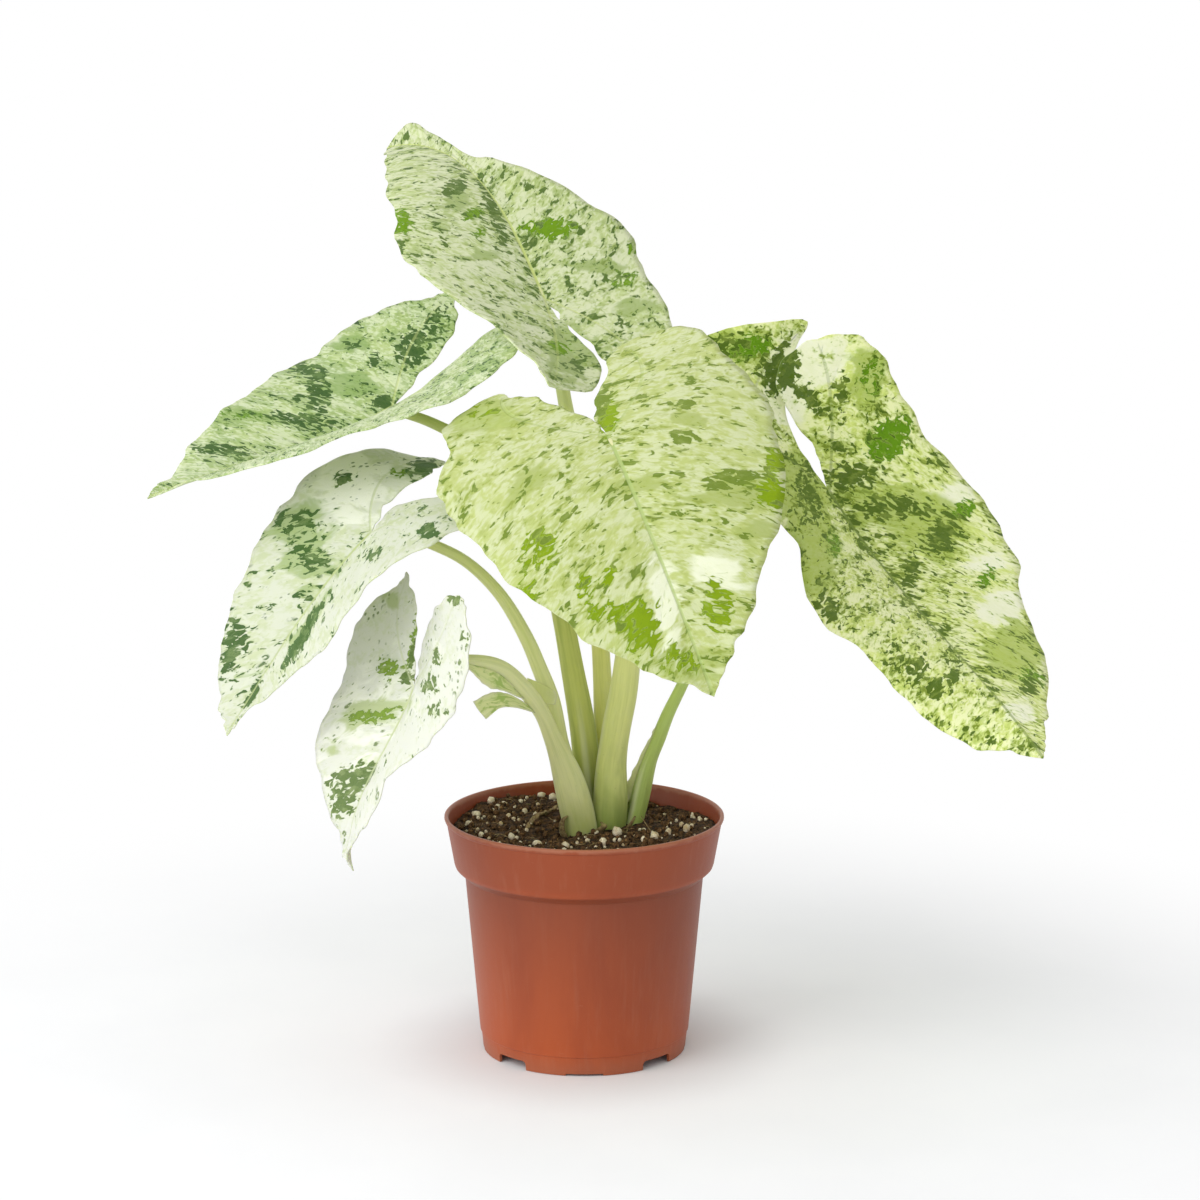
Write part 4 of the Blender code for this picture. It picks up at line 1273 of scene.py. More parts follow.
@dataclass
class NurseryPot:
    """The pot: a tapering body, a wide band under a thin lip, an arched foot ring, a holed floor."""

    height: float = 103.5
    rim: float = 60.0
    band_bottom: float = 82.0
    step: float = 77.5  # where the body meets the slope under the band
    neck: float = 51.5
    foot: float = 44.5
    foot_height: float = 8.0
    wall: float = 1.3
    floor_lift: float = 6.0
    disc: float = 30.0
    edge: float = 0.22  # width of the softened edges
    sides: int = 144
    drain_holes: int = 8
    drain_radius: float = 3.5
    drain_circle: float = 36.5
    arches: int = 4
    arch_width: float = 16.0
    arch_height: float = 4.0
    recess_height: float = 0.8
    finish: PlasticFinish = field(default_factory=PlasticFinish)

    def profile(self) -> list[Point]:
        """(radius, height) points up the outside, over the lip and down the inside."""
        step = self.step
        return [
            (self.disc, 0), (self.disc + 1.5, self.floor_lift), (self.foot - 1.7, self.floor_lift),
            (self.foot - 1.7, 0), (self.foot - 0.5, 0), (self.foot + 0.3, self.foot_height),
            (self.foot + 0.85, self.foot_height + 0.5), (self.neck, step),
            (self.neck + 0.55, step + 0.7), (self.neck + 1.7, step + 1.7),
            (self.neck + 3.1, step + 2.9), (self.neck + 4.1, step + 3.9),
            (self.neck + 4.6, step + 5.4), (self.rim - 0.7, self.height - 2.6),
            (self.rim - 0.1, self.height - 2.0), (self.rim + 0.25, self.height - 1.1),
            (self.rim + 0.2, self.height - 0.4), (self.rim - 0.2, self.height),
            (self.rim - 1.0, self.height), (self.rim - 1.4, self.height - 0.4), *self.inner_wall(),
        ]

    def inner_wall(self) -> list[Point]:
        """(radius, height) points from below the lip down to the floor and in to its middle."""
        step = self.step
        return [
            (self.rim - 1.7, self.height - 1.4), (self.neck + 3.3, self.band_bottom + 1),
            (self.neck - 0.5, step + 1.5), (self.neck - self.wall, step - 0.5),
            (self.foot - 0.5, self.foot_height + 0.6), (self.foot - 1.1, self.floor_lift + self.wall),
            (self.disc + 0.2, self.floor_lift + self.wall), (self.disc - self.wall, self.wall),
        ]

    def build(self) -> bpy.types.Object:
        """The finished pot, in place of its CAD node."""
        pot = self._turned()
        self._cut(pot, self._drain_cutters())
        self._cut(pot, self._arch_cutters())
        soft = pot.modifiers.new("soft edges", "BEVEL")
        soft.width = self.edge * MM
        soft.segments = 2
        soft.limit_method = "ANGLE"
        soft.angle_limit = math.radians(35)
        soft.use_clamp_overlap = True
        apply_all(pot)
        self._mark_inside(pot)
        take(pot)
        bpy.ops.object.shade_smooth_by_angle(angle=math.radians(32))
        finish = self.finish.material("terracotta plastic", self.height * MM)
        return dressed(pot, finish, "pot", "pot")

    def _turned(self) -> bpy.types.Object:
        """The pot's closed wall, drawn up ring by ring from a circle."""
        deselect()
        points = self.profile()
        radius, height = points[0]
        bpy.ops.mesh.primitive_circle_add(
            vertices=self.sides, radius=radius * MM, location=(0, 0, height * MM)
        )
        pot = bpy.context.object
        pot.name = pot.data.name = "nursery_pot"
        settle(pot)
        with editing():
            bpy.ops.mesh.edge_face_add()
            bpy.ops.mesh.select_mode(type="EDGE")
            bpy.ops.mesh.select_all(action="SELECT")
            for (r0, z0), (r1, z1) in zip(points, points[1:]):
                rise, grow = (z1 - z0) * MM, r1 / r0
                bpy.ops.mesh.extrude_edges_move(TRANSFORM_OT_translate={"value": (0, 0, rise)})
                bpy.ops.transform.resize(value=(grow, grow, 1), center_override=(0, 0, z1 * MM))
            bpy.ops.mesh.edge_face_add()
            bpy.ops.mesh.select_all(action="SELECT")
            bpy.ops.mesh.normals_make_consistent(inside=False)
        return pot

    def _drain_cutters(self) -> bpy.types.Object:
        """Cylinders through the raised floor ring."""
        made = []
        for i in range(self.drain_holes):
            turn = 2 * math.pi * (i + 0.5) / self.drain_holes
            deselect()
            bpy.ops.mesh.primitive_cylinder_add(
                vertices=32, radius=self.drain_radius * MM, depth=3 * self.wall * MM,
                location=(
                    *polar(self.drain_circle * MM, turn), (self.floor_lift + self.wall / 2) * MM
                ),
            )
            made.append(bpy.context.object)
        return self._joined(made)

    def _arch_cutters(self) -> bpy.types.Object:
        """Rounded blocks across the foot ring: its arches, with shallow recesses between them."""
        made = []
        for i in range(2 * self.arches):
            turn = math.pi * i / self.arches
            high = self.arch_height if i % 2 else self.recess_height
            deselect()
            bpy.ops.mesh.primitive_cube_add(
                size=MM, location=(*polar(self.foot * MM, turn), 0), rotation=(0, 0, turn)
            )
            block = bpy.context.object
            block.scale = (8, self.arch_width, 2 * high)
            settle(block)
            with editing():
                bpy.ops.mesh.bevel(offset=0.4 * high * MM, segments=4)
            made.append(block)
        return self._joined(made)

    def _joined(self, objects: list[bpy.types.Object]) -> bpy.types.Object:
        """One object from several."""
        take(*objects)
        bpy.ops.object.join()
        settle(bpy.context.object)
        return bpy.context.object

    def _cut(self, pot: bpy.types.Object, cutter: bpy.types.Object) -> None:
        """Cut a shape out of the pot and remove the cutter."""
        cut = pot.modifiers.new("cut", "BOOLEAN")
        cut.operation = "DIFFERENCE"
        cut.solver = "EXACT"
        cut.object = cutter
        apply_all(pot)
        bpy.data.objects.remove(cutter)

    def _mark_inside(self, pot: bpy.types.Object) -> None:
        """Mark the inner wall, which is shaded and damp below the lip."""
        values = np.zeros(len(pot.data.vertices), np.float32)
        for vert in pot.data.vertices:
            x, y, z = (c / MM for c in vert.co)
            radius = math.hypot(x, y)
            wall = np.interp(
                z, (self.floor_lift, self.band_bottom, self.height),
                (self.foot - 0.4, self.neck + 3.5, self.rim - 1.2),
            )
            if z > self.foot_height and radius < wall + 0.1 and vert.normal.z > -0.9:
                values[vert.index] = 0.75 * float(smoothstep((self.height - 0.6 - z) / 3))
        carry(pot, "inner_wall", values)


# ---------------------------------------------------------------- soil


@dataclass(frozen=True)
class SoilFinish:
    """Damp peat: dark crumbs of several browns, with a dry bloom on some of them."""

    damp: Colour = shade(46, 32, 21)
    peat: Colour = shade(98, 70, 42)
    dry: Colour = shade(156, 120, 76)

    def material(self, name: str, lighter: float = 0.0) -> bpy.types.Material:
        """The soil's material; lighter adds to the share of dry crumbs."""
        made, s, shader = new_material(name)
        place = s.place()
        tone = s.marbled(s.stretched(place, (420, 420, 420)), self.damp, self.peat, -0.02 + lighter)
        crumbs = s.cloud(place, 900.0, 4.0, 0.7)
        dry = s.times(s.rise(s.plus(crumbs, lighter), 0.56, 0.68), 0.75)
        colour = s.blend(dry, tone, self.dry)
        s.feed(shader.inputs["Base Color"], colour)
        grain = s.grained(shader, s.stretched(place, (1300, 1300, 1300)), 0.86, 0.25)
        lumps = s.rest(s.cells(place, 620.0))
        relief = s.plus(s.times(lumps, 0.8), s.times(grain, 0.5))
        bumped(s, shader, relief, 0.0009)
        preset(shader, Specular_IOR_Level=0.25)
        return made


@dataclass
class PottingSoil:
    """The soil in the pot: a lumpy surface over a body that fills the pot down to its floor."""

    top: float = 96.5
    gap: float = 0.35
    pot: NurseryPot = field(default_factory=NurseryPot)
    waves: tuple = (
        (-34, 36, 3.0, 24), (24, -20, 1.2, 18), (-14, -6, -3.4, 12), (31, 31, -2.4, 13),
        (-42, -8, 1.0, 14), (8, -44, 0.8, 16), (48, 6, 1.2, 15),
    )
    rings: int = 74
    sides: int = 190
    finish: SoilFinish = field(default_factory=SoilFinish)

    def height(self, x: float, y: float) -> float:
        """Height of the surface over a place, with its lumps."""
        height = self.top
        for at_x, at_y, rise, radius in self.waves:
            height += rise * math.exp(-((x - at_x) ** 2 + (y - at_y) ** 2) / radius**2)
        spot = Vector((x, y, 0))
        lumps = 1.25 * noise.noise(spot * 0.16) + 0.75 * noise.noise(spot * 0.42 + Vector((7, 1, 3)))
        return height + lumps + 0.45 * noise.noise(spot * 1.1 + Vector((2, 9, 5)))

    def build(self) -> bpy.types.Object:
        """The finished piece, in place of its CAD node."""
        inner = self.pot.inner_wall()
        (wide, high), (narrow, low) = inner[0:2]
        flare = (wide - narrow) / (high - low)
        edge = narrow + flare * (self.top - low) - self.gap
        bm = bmesh.new()
        centre = bm.verts.new((0, 0, self.height(0, 0)))
        grid = []
        for i in range(1, self.rings + 1):
            ring = []
            for j in range(self.sides):
                turn = 2 * math.pi * (j + 0.5 * (i % 2)) / self.sides
                radius = edge * i / self.rings
                x, y = polar(radius, turn)
                z = self.height(x, y)
                if i >= self.rings - 1:
                    fit = (edge + flare * (z - self.top) - 0.15) / edge
                    x, y = x * fit, y * fit
                ring.append(bm.verts.new((x, y, z)))
            grid.append(ring)
        for radius, height in inner[1:]:
            low = height < self.top / 2  # the rings that rest on the pot's floor
            grid.append([
                bm.verts.new((
                    *polar(radius - self.gap - 0.1, 2 * math.pi * j / self.sides),
                    height + (self.gap if low else 0),
                ))
                for j in range(self.sides)
            ])
        for j in range(self.sides):
            bm.faces.new((centre, grid[0][j], grid[0][(j + 1) % self.sides]))
        for near, far in zip(grid, grid[1:]):
            for a, b, c, d in hoop(near, far):
                bm.faces.new((a, d, c, b))
        bm.faces.new(grid[-1][::-1])
        bmesh.ops.recalc_face_normals(bm, faces=bm.faces)
        obj = mesh_object("potting_soil", bm)
        return dressed(obj, self.finish.material("damp peat"), "soil", "soil")


@dataclass(frozen=True)
class GrainFinish:
    """Perlite: chalky off-white grains with pits and a little soil on them."""

    chalk: Colour = shade(246, 234, 206)
    stained: Colour = shade(206, 178, 132)

    def material(self, name: str) -> bpy.types.Material:
        """The grains' material."""
        made, s, shader = new_material(name)
        place = s.place()
        tone = s.marbled(s.stretched(place, (330, 330, 330)), self.chalk, self.stained, -0.05)
        pits = s.rise(s.cloud(place, 1500.0, 3.0, 0.6), 0.6, 0.72)
        colour = s.laid(pits, 0.6, tone, shade(92, 70, 48))
        s.feed(shader.inputs["Base Color"], colour)
        grain = s.grained(shader, s.stretched(place, (1800, 1800, 1800)), 0.85, 0.2)
        bumped(s, shader, grain, 0.0005)
        return made


class Litter(Enum):
    """What lies loose on the soil."""

    PERLITE = "perlite_grains"
    CRUMBS = "soil_crumbs"
    FIBRES = "soil_fibres"


@dataclass
class SoilLitter:
    """Loose pieces that lie on the soil: perlite, crumbs, fibres and a strip of bark."""

    soil: PottingSoil
    ground: BVHTree
    grains: tuple = (
        (-41, 34, 1.7), (-33, 14, 1.6), (-14, 47, 2.1), (-47, 18, 1.9), (-31, -17, 1.8),
        (-20, -27, 2.1), (8, -30, 2.0), (14, -13, 2.2), (30, -19, 1.9), (44, -6, 1.8),
    )
    more_grains: tuple = (
        (-43, 39, 1.2), (-26, 22, 1.3), (-19, 50, 1.6), (-50, 4, 1.3), (-8, -31, 1.6), (-3, -26, 1.0),
        (13, -24, 1.3), (36, -12, 1.5), (42, 1, 1.2), (47, 18, 1.3), (50, 9, 1.2), (-36, 2, 1.2),
        (25, -27, 1.2), (-44, -14, 1.3), (22, -17, 1.1), (-38, 25, 1.4), (-28, 38, 1.2),
    )
    hollows: tuple = ((-12, -8), (31, 26))  # dark spots with hardly any small grains
    hollow_radius: float = 13.0
    small_grains: int = 210
    crumbs: int = 520
    fibres: int = 70
    reach: float = 54.5
    stem: float = 17.0  # radius round the stalks that is kept clear
    seed: int = 7

    def build(self) -> list[bpy.types.Object]:
        """All the loose pieces."""
        return [self._perlite(), self._crumbs(), self._fibres(), self._bark()]

    def surface(self, x: float, y: float) -> float:
        """Height of the built soil surface in millimetres."""
        hit = self.ground.ray_cast(Vector((x, y, 160)) * MM, Vector((0, 0, -1)))[0]
        return hit.z / MM if hit else self.soil.top

    def _lump(
        self, bm: BMesh, x: float, y: float, radius: float, rng: np.random.Generator,
        fine: bool, sink: float,
    ) -> None:
        """Add one uneven grain, sunk a little into the soil."""
        made = bmesh.ops.create_icosphere(bm, subdivisions=2 if fine else 1, radius=radius)["verts"]
        stretch = rng.uniform(0.75, 1.2, 3)
        offset = Vector(rng.uniform(-50, 50, 3))
        place = Vector((x, y, self.surface(x, y) + radius * (0.75 - sink)))
        for vert in made:
            bulge = 1 + 0.28 * noise.noise(vert.co / radius * 1.3 + offset)
            vert.co = Vector(c * k for c, k in zip(vert.co, stretch)) * bulge + place

    def _spots(self, count: int, rng: np.random.Generator) -> list[Point]:
        """Places spread evenly over the soil, away from the stem."""
        spots = []
        while len(spots) < count:
            radius, turn = self.reach * math.sqrt(rng.uniform()), rng.uniform(0, 2 * math.pi)
            x, y = polar(radius, turn)
            if math.hypot(x - CROWN_CENTRE[0], (y - CROWN_CENTRE[1]) * 1.2) > self.stem:
                spots.append((x, y))
        return spots

    def _perlite(self) -> bpy.types.Object:
        """The perlite: the larger grains, then many small ones."""
        rng = np.random.default_rng(self.seed)
        bm = bmesh.new()
        for x, y, radius in self.grains + self.more_grains:
            self._lump(bm, x, y, radius, rng, True, 0.15)
        for x, y in self._spots(self.small_grains, rng):
            hollow = any(math.hypot(x - a, y - b) < self.hollow_radius for a, b in self.hollows)
            if not hollow or rng.uniform() < 0.15:
                self._lump(bm, x, y, rng.uniform(0.45, 1.05), rng, False, 0.2)
        obj = mesh_object(Litter.PERLITE.value, bm)
        nodes = [f"perlite_{i:02d}" for i in range(1, len(self.grains) + 1)]
        return dressed(obj, GrainFinish().material("chalky perlite"), "perlite", *nodes)

    def _crumbs(self) -> bpy.types.Object:
        """Crumbs of peat."""
        rng = np.random.default_rng(self.seed + 1)
        bm = bmesh.new()
        for x, y in self._spots(self.crumbs, rng):
            self._lump(bm, x, y, rng.uniform(0.6, 1.7), rng, False, 0.3)
        obj = mesh_object(Litter.CRUMBS.value, bm)
        return dressed(obj, SoilFinish().material("peat crumbs", 0.05), "soil")

    def _strand(self, bm: BMesh, points: np.ndarray, radii: np.ndarray) -> None:
        """Add a thin closed strand through points to the mesh."""
        rings = []
        for i, (point, radius) in enumerate(zip(points, radii)):
            ahead = points[min(i + 1, len(points) - 1)] - points[max(i - 1, 0)]
            side = np.cross(ahead, (0, 0, 1))
            side = side / max(np.linalg.norm(side), 1e-6)
            up = np.cross(side, ahead / np.linalg.norm(ahead))
            rings.append([
                bm.verts.new(point + radius * (side * math.cos(a) + up * math.sin(a)))
                for a in np.linspace(0, 2 * math.pi, 4, endpoint=False)
            ])
        walled(bm, rings)

    def _fibres(self) -> bpy.types.Object:
        """Root hairs and fibres that lie on the soil, and one straw that leans out of it."""
        rng = np.random.default_rng(self.seed + 2)
        bm = bmesh.new()
        for x, y in self._spots(self.fibres, rng):
            turn, length = rng.uniform(0, 2 * math.pi), rng.uniform(3, 9)
            bend, lift = rng.uniform(-0.2, 0.2), rng.uniform(0.2, 2.4)
            points = []
            for t in np.linspace(-0.5, 0.5, 6):
                angle = turn + bend * t * 6
                px, py = x + length * t * math.cos(angle), y + length * t * math.sin(angle)
                if math.hypot(px, py) > self.reach:
                    px, py = x, y
                points.append((px, py, self.surface(px, py) + 0.25 + lift * (0.25 - t * t)))
            points = np.array(points) + rng.uniform(-0.01, 0.01, (6, 3))
            self._strand(bm, points, np.full(6, rng.uniform(0.12, 0.28)))
        base = self.surface(29, -12)
        straw = np.array([
            (30, -13.5, base - 0.6), (28, -11, base + 1.6), (26, -8, base + 4.0),
            (24.4, -5.5, base + 6.2),
        ])
        self._strand(bm, straw, np.array([0.3, 0.28, 0.24, 0.12]))
        bmesh.ops.recalc_face_normals(bm, faces=bm.faces)
        obj = mesh_object(Litter.FIBRES.value, bm)
        return dressed(obj, BarkFinish().material("dry fibre"), "bark")

    def _bark(self) -> bpy.types.Object:
        """The strip of bark: a curled, splintered sliver."""
        path = spline(((-25, 3), (-21, 13), (-16, 22), (-12, 30)), 9)
        bm = bmesh.new()
        rings = []
        for i, (x, y) in enumerate(path):
            share = i / (len(path) - 1)
            width = 0.5 + 1.5 * math.sin(math.pi * (0.08 + 0.84 * share))
            width = width + 0.25 * math.sin(9 * share * math.pi)
            base = self.surface(x, y) + 0.2 + 0.7 * math.sin(math.pi * share)
            ring = []
            for turn in np.linspace(0, 2 * math.pi, 12, endpoint=False):
                ragged = 1 + 0.22 * noise.noise(Vector((turn * 1.3, share * 9, 4)))
                ring.append(bm.verts.new((
                    x + width * 0.88 * math.cos(turn) * ragged,
                    y + width * 0.4 * math.cos(turn) * ragged,
                    base + 0.75 * math.sin(turn) * ragged + 0.5 * abs(math.cos(turn)) * width * 0.5,
                )))
            rings.append(ring)
        walled(bm, rings)
        bmesh.ops.recalc_face_normals(bm, faces=bm.faces)
        obj = mesh_object("bark_strip", bm)
        return dressed(obj, BarkFinish().material("weathered bark"), "bark", "bark_chip")


@dataclass(frozen=True)
class BarkFinish:
    """Dry plant fibre and bark: long grain in two browns, with a greenish bloom."""

    brown: Colour = shade(118, 92, 58)
    pale: Colour = shade(176, 152, 108)
    bloom: Colour = shade(112, 112, 62)

    def material(self, name: str) -> bpy.types.Material:
        """The fibre's material."""
        made, s, shader = new_material(name)
        place = s.place()
        tone = s.marbled(s.stretched(place, (900, 260, 700)), self.brown, self.pale)
        moss = s.rise(s.cloud(place, 150.0, 3.0), 0.5, 0.62)
        colour = s.laid(moss, 0.45, tone, self.bloom)
        s.feed(shader.inputs["Base Color"], colour)
        grain = s.grained(shader, s.stretched(place, (1600, 400, 1200)), 0.8, 0.2)
        bumped(s, shader, grain, 0.0005)
        return made


@dataclass
class Crown:
    """The corm's top at the soil line, with the papery remains of old sheaths round the stalks."""

    centre: Point = (9.0, 8.0, 91.5)
    radii: Point = (19.5, 15.5, 5.6)
    leftovers: tuple = (
        ((-8.5, -4.5, 94.5), (-9.6, -5.6, 98.5), (-9.0, -6.8, 102.5), (-7.0, -7.6, 104.5)),
        ((5.5, -1.5, 94.5), (6.2, -4.4, 97.0), (8.6, -5.6, 99.5), (7.2, -4.2, 101.0)),
        ((17.5, 1.0, 94.5), (18.8, -1.6, 97.5), (20.6, -1.8, 100.5), (21.8, -0.6, 102.5)),
        ((-1.5, 20.0, 95.0), (-3.5, 21.5, 99.0), (-4.5, 22.0, 103.0), (-4.0, 21.0, 106.0)),
    )
    thickness: float = 0.3

    def build(self) -> list[bpy.types.Object]:
        """The corm, which stands for the CAD crown, and the sheath remains."""
        deselect()
        bpy.ops.mesh.primitive_uv_sphere_add(
            segments=72, ring_count=36, radius=MM, location=(0, 0, 0)
        )
        corm = bpy.context.object
        corm.name = corm.data.name = "corm"
        for vert in corm.data.vertices:
            away = Vector(vert.co) / MM
            fine = noise.noise(away * 5.5 + Vector((3, 1, 2)))
            rough = 1 + 0.10 * noise.noise(away * 2.2) + 0.06 * fine
            vert.co = Vector(c + a * r * rough for c, a, r in zip(self.centre, away, self.radii)) * MM
        corm.data.shade_smooth()
        finish = BarkFinish(shade(84, 62, 40), shade(132, 112, 72), shade(92, 98, 52))
        return [dressed(corm, finish.material("corm skin"), "crown", "crown"), self._remains()]

    def _remains(self) -> bpy.types.Object:
        """Thin curled strips round the stalks' feet."""
        bm = bmesh.new()
        for path in self.leftovers:
            line = spline(path, 6)
            outward = np.array([line[0][0] - CROWN_CENTRE[0], line[0][1] - CROWN_CENTRE[1], 0])
            outward /= np.linalg.norm(outward)
            across = np.cross(outward, (0, 0, 1))
            rows = []
            for i, point in enumerate(line):
                share = i / (len(line) - 1)
                width = 2.4 * (1 - share) ** 0.7 + 0.25
                rows.append([
                    bm.verts.new(
                        point + across * width * t + outward * 0.9 * (1 - t * t) * (1 - 0.5 * share)
                    )
                    for t in np.linspace(-1, 1, 7)
                ])
            for corners in quads(rows):
                bm.faces.new(corners)
        bmesh.ops.recalc_face_normals(bm, faces=bm.faces)
        obj = mesh_object("sheath_remains", bm)
        thickened(obj, self.thickness)
        finish = BarkFinish(shade(106, 84, 50), shade(158, 142, 92), shade(120, 126, 66))
        return dressed(obj, finish.material("papery sheath"), "crown")


# ---------------------------------------------------------------- stage


@dataclass
class Stage:
    """Pale floor, soft key from the upper left front, a weak front lamp, white surround and camera.

    Attributes:
        camera_place: where the camera stands, in metres.
        camera_pitch: how far it looks down, in degrees.
        camera_yaw: how far it looks to the right, in degrees.
        lens: its focal length in millimetres.
        key: the main lamp's place, size and power.
        front: the front lamp's place, size and power.
        aim: height that the lamps face.
        sky: strength of the surround's light.
        floor_lift: how far the floor itself is lifted towards white, for the eye only.
        lifted: distances from the middle over which that lift comes in.
        faded: distances over which the floor fades to white.
        disc: radius of the floor before its edge is drawn out.
        inset: width of the ring that is drawn out.
        drawn: how many times further out the edge then lies.
    """

    camera_place: Point = (0.0, -1.5, 0.4987)
    camera_pitch: float = 11.36
    camera_yaw: float = 0.26
    lens: float = 107.82
    key: tuple = ((-1.4, -0.95, 1.05), 1.5, 20.0)
    front: tuple = ((-0.35, -1.6, 1.1), 1.4, 7.0)
    aim: float = 0.18
    sky: float = 0.68
    floor_lift: float = 0.15
    lifted: Point = (0.045, 0.100)
    faded: Point = (0.16, 0.44)
    disc: float = 0.5
    inset: float = 0.2
    drawn: float = 60.0

    def build(self) -> None:
        """Everything round the plant."""
        self._floor()
        self._lamp("key", *self.key)
        self._lamp("front", *self.front)
        self._world()
        self._camera()
        bpy.context.scene.view_settings.view_transform = "Standard"

    def _floor(self) -> None:
        """A pale sheet that keeps the shadow near the pot and fades to white further out."""
        deselect()
        bpy.ops.mesh.primitive_circle_add(
            vertices=96, radius=self.disc, fill_type="NGON", location=(0, 0, -0.0002)
        )
        floor = bpy.context.object
        floor.name = "floor"
        settle(floor)
        with editing():
            bpy.ops.mesh.inset(thickness=self.inset)
        for vert in floor.data.vertices:
            if vert.co.xy.length > 0.9 * self.disc:
                vert.co.xy *= self.drawn
        made, s, shader = new_material("pale floor")
        place = s.place()
        away = s.add("ShaderNodeVectorMath", operation="LENGTH")
        s.feed(away.inputs[0], place)
        speck = s.cloud(place, 8.0, 3.0)
        tone = s.blend(s.rise(speck, 0.3, 0.7), shade(233, 234, 236), shade(237, 238, 240))
        s.feed(shader.inputs["Base Color"], tone)
        preset(shader, Roughness=0.9, Specular_IOR_Level=0.1, Emission_Color=(1, 1, 1, 1))
        glow = s.add("ShaderNodeEmission")
        preset(glow, Strength=1.0)
        seen = s.seen()
        lift = s.times(s.rise(away.outputs["Value"], *self.lifted), self.floor_lift)
        s.feed(shader.inputs["Emission Strength"], s.times(seen, lift))
        whole = s.add("ShaderNodeMixShader")
        s.feed(whole.inputs[0], s.times(seen, s.rise(away.outputs["Value"], *self.faded)))
        s.feed(whole.inputs[1], shader.outputs[0])
        s.feed(whole.inputs[2], glow.outputs[0])
        s.feed(s.tree.nodes["Material Output"].inputs["Surface"], whole.outputs[0])
        floor.data.materials.append(made)

    def _lamp(self, name: str, place: Point, size: float, power: float) -> None:
        """A square soft lamp that faces the plant."""
        lamp = bpy.data.lights.new(name, "AREA")
        lamp.size = size
        lamp.energy = power
        obj = placed(name, lamp)
        obj.location = place
        facing = Vector((0, 0, self.aim)) - Vector(place)
        obj.rotation_euler = facing.to_track_quat("-Z", "Y").to_euler()

    def _world(self) -> None:
        """An even white surround."""
        world = bpy.data.worlds.new("surround")
        bpy.context.scene.world = world
        world.use_nodes = True
        s = Sketch(world.node_tree)
        back = world.node_tree.nodes["Background"]
        s.feed(back.inputs["Strength"], s.plus(self.sky, s.times(s.seen(), 1 - self.sky)))
        preset(back, Color=(1, 1, 1, 1))

    def _camera(self) -> None:
        """The camera, a little above the leaves and looking slightly down."""
        data = bpy.data.cameras.new("camera")
        data.lens = self.lens
        data.sensor_width = 36.0
        data.clip_end = 100.0
        camera = placed("camera", data)
        camera.location = self.camera_place
        camera.rotation_euler = (
            math.radians(90 - self.camera_pitch), 0, math.radians(-self.camera_yaw)
        )
        bpy.context.scene.camera = camera


# ---------------------------------------------------------------- this plant


def marks(**areas: Sequence[Point]) -> tuple[Patch, ...]:
    """Patches by the name of their kind, each as (along, out, long, wide, turn, level)."""
    return tuple(Patch(Mark[kind], *area) for kind, rows in areas.items() for area in rows)


def top_leaf() -> tuple[LeafBlade, Petiole]:
    """The highest leaf, which leans back over the plant."""
    shape = LeafShape(
        "top", (-17, 57, 319), 112, -35, -2, 152, (-7, -25, 70), 36,
        Half((-4, -9), (-71, 24), (27, 37), (52, 57, 49, 39, 22, 10), (19, 17, 0), (-31, 36), 3),
        Half((6, 17), (-64, 25), (41, 49), (49, 48, 25, 6, 9, 12), (11, 12, 37), (1, 12), -2),
        (
            (14, 18.5, 106.3, 4.8), (11, 20, 120, 4.8), (9, 22, 140, 4.6), (8, 24, 157, 4.1),
            (7, 27, 174, 3.9), (4, 32, 200, 3.7), (1, 38, 225, 3.5), (-3, 44, 251, 3.3),
            (-8, 50, 274, 3.1), (-12, 55, 297, 2.8),
        ),
    )
    finish = LeafFinish(
        ground=shade(212, 218, 182), tint=shade(190, 203, 142), wash=shade(156, 175, 106),
        fleck=shade(138, 158, 76), vivid=shade(112, 152, 14), dark=shade(64, 96, 32),
        rib=shade(196, 208, 128), tinted=-0.03, mottle=-0.2, flecks=-1.4, specks=-1.2,
        streaks=0.12, dots=0.1, lined=0.35, roundness=0.62, fineness=1.2,
    )
    patches = marks(
        DARK=(
            (55, 5, 23, 3, -10, 1.2), (79, 14, 13, 4, -42, 1.1), (40, 56, 7, 2.5, -12, 1.0),
            (6, -34, 8, 3, 80, 0.8), (67, -15, 4, 3, 49, 0.8), (-46, 0, 9, 4, -30, 0.9),
            (-23, -28, 4, 3, 78, 0.9),
        ),
        VIVID=(
            (41, -15, 12, 6, 75, 1.4), (56, 15, 7, 3, -60, 1.3), (58, 49, 12, 5, -17, 1.2),
            (42, 18, 6, 3.5, -35, 0.8), (4, -37, 8, 6, 87, 0.9), (22, -48, 5, 2.5, -20, 0.8),
            (-36, 6, 8, 5, -45, 1.0),
        ),
        WASH=(
            (66, 19, 12, 6, -40, 1.0), (26, 22, 12, 4, -83, 1.0), (13, -33, 15, 4, 79, 1.1),
            (39, -38, 6, 2.5, 87, 0.9), (-42, 4, 24, 12, -29, 1.2), (-14, -37, 13, 6, 83, 1.0),
        ),
    )
    stalk = PetioleFinish(
        shade(180, 190, 111), shade(233, 233, 152), shade(229, 236, 169), shade(190, 201, 111), 0.5
    )
    petiole = Petiole(shape, stalk, sheath_top=75)
    return LeafBlade(shape, finish, patches), petiole


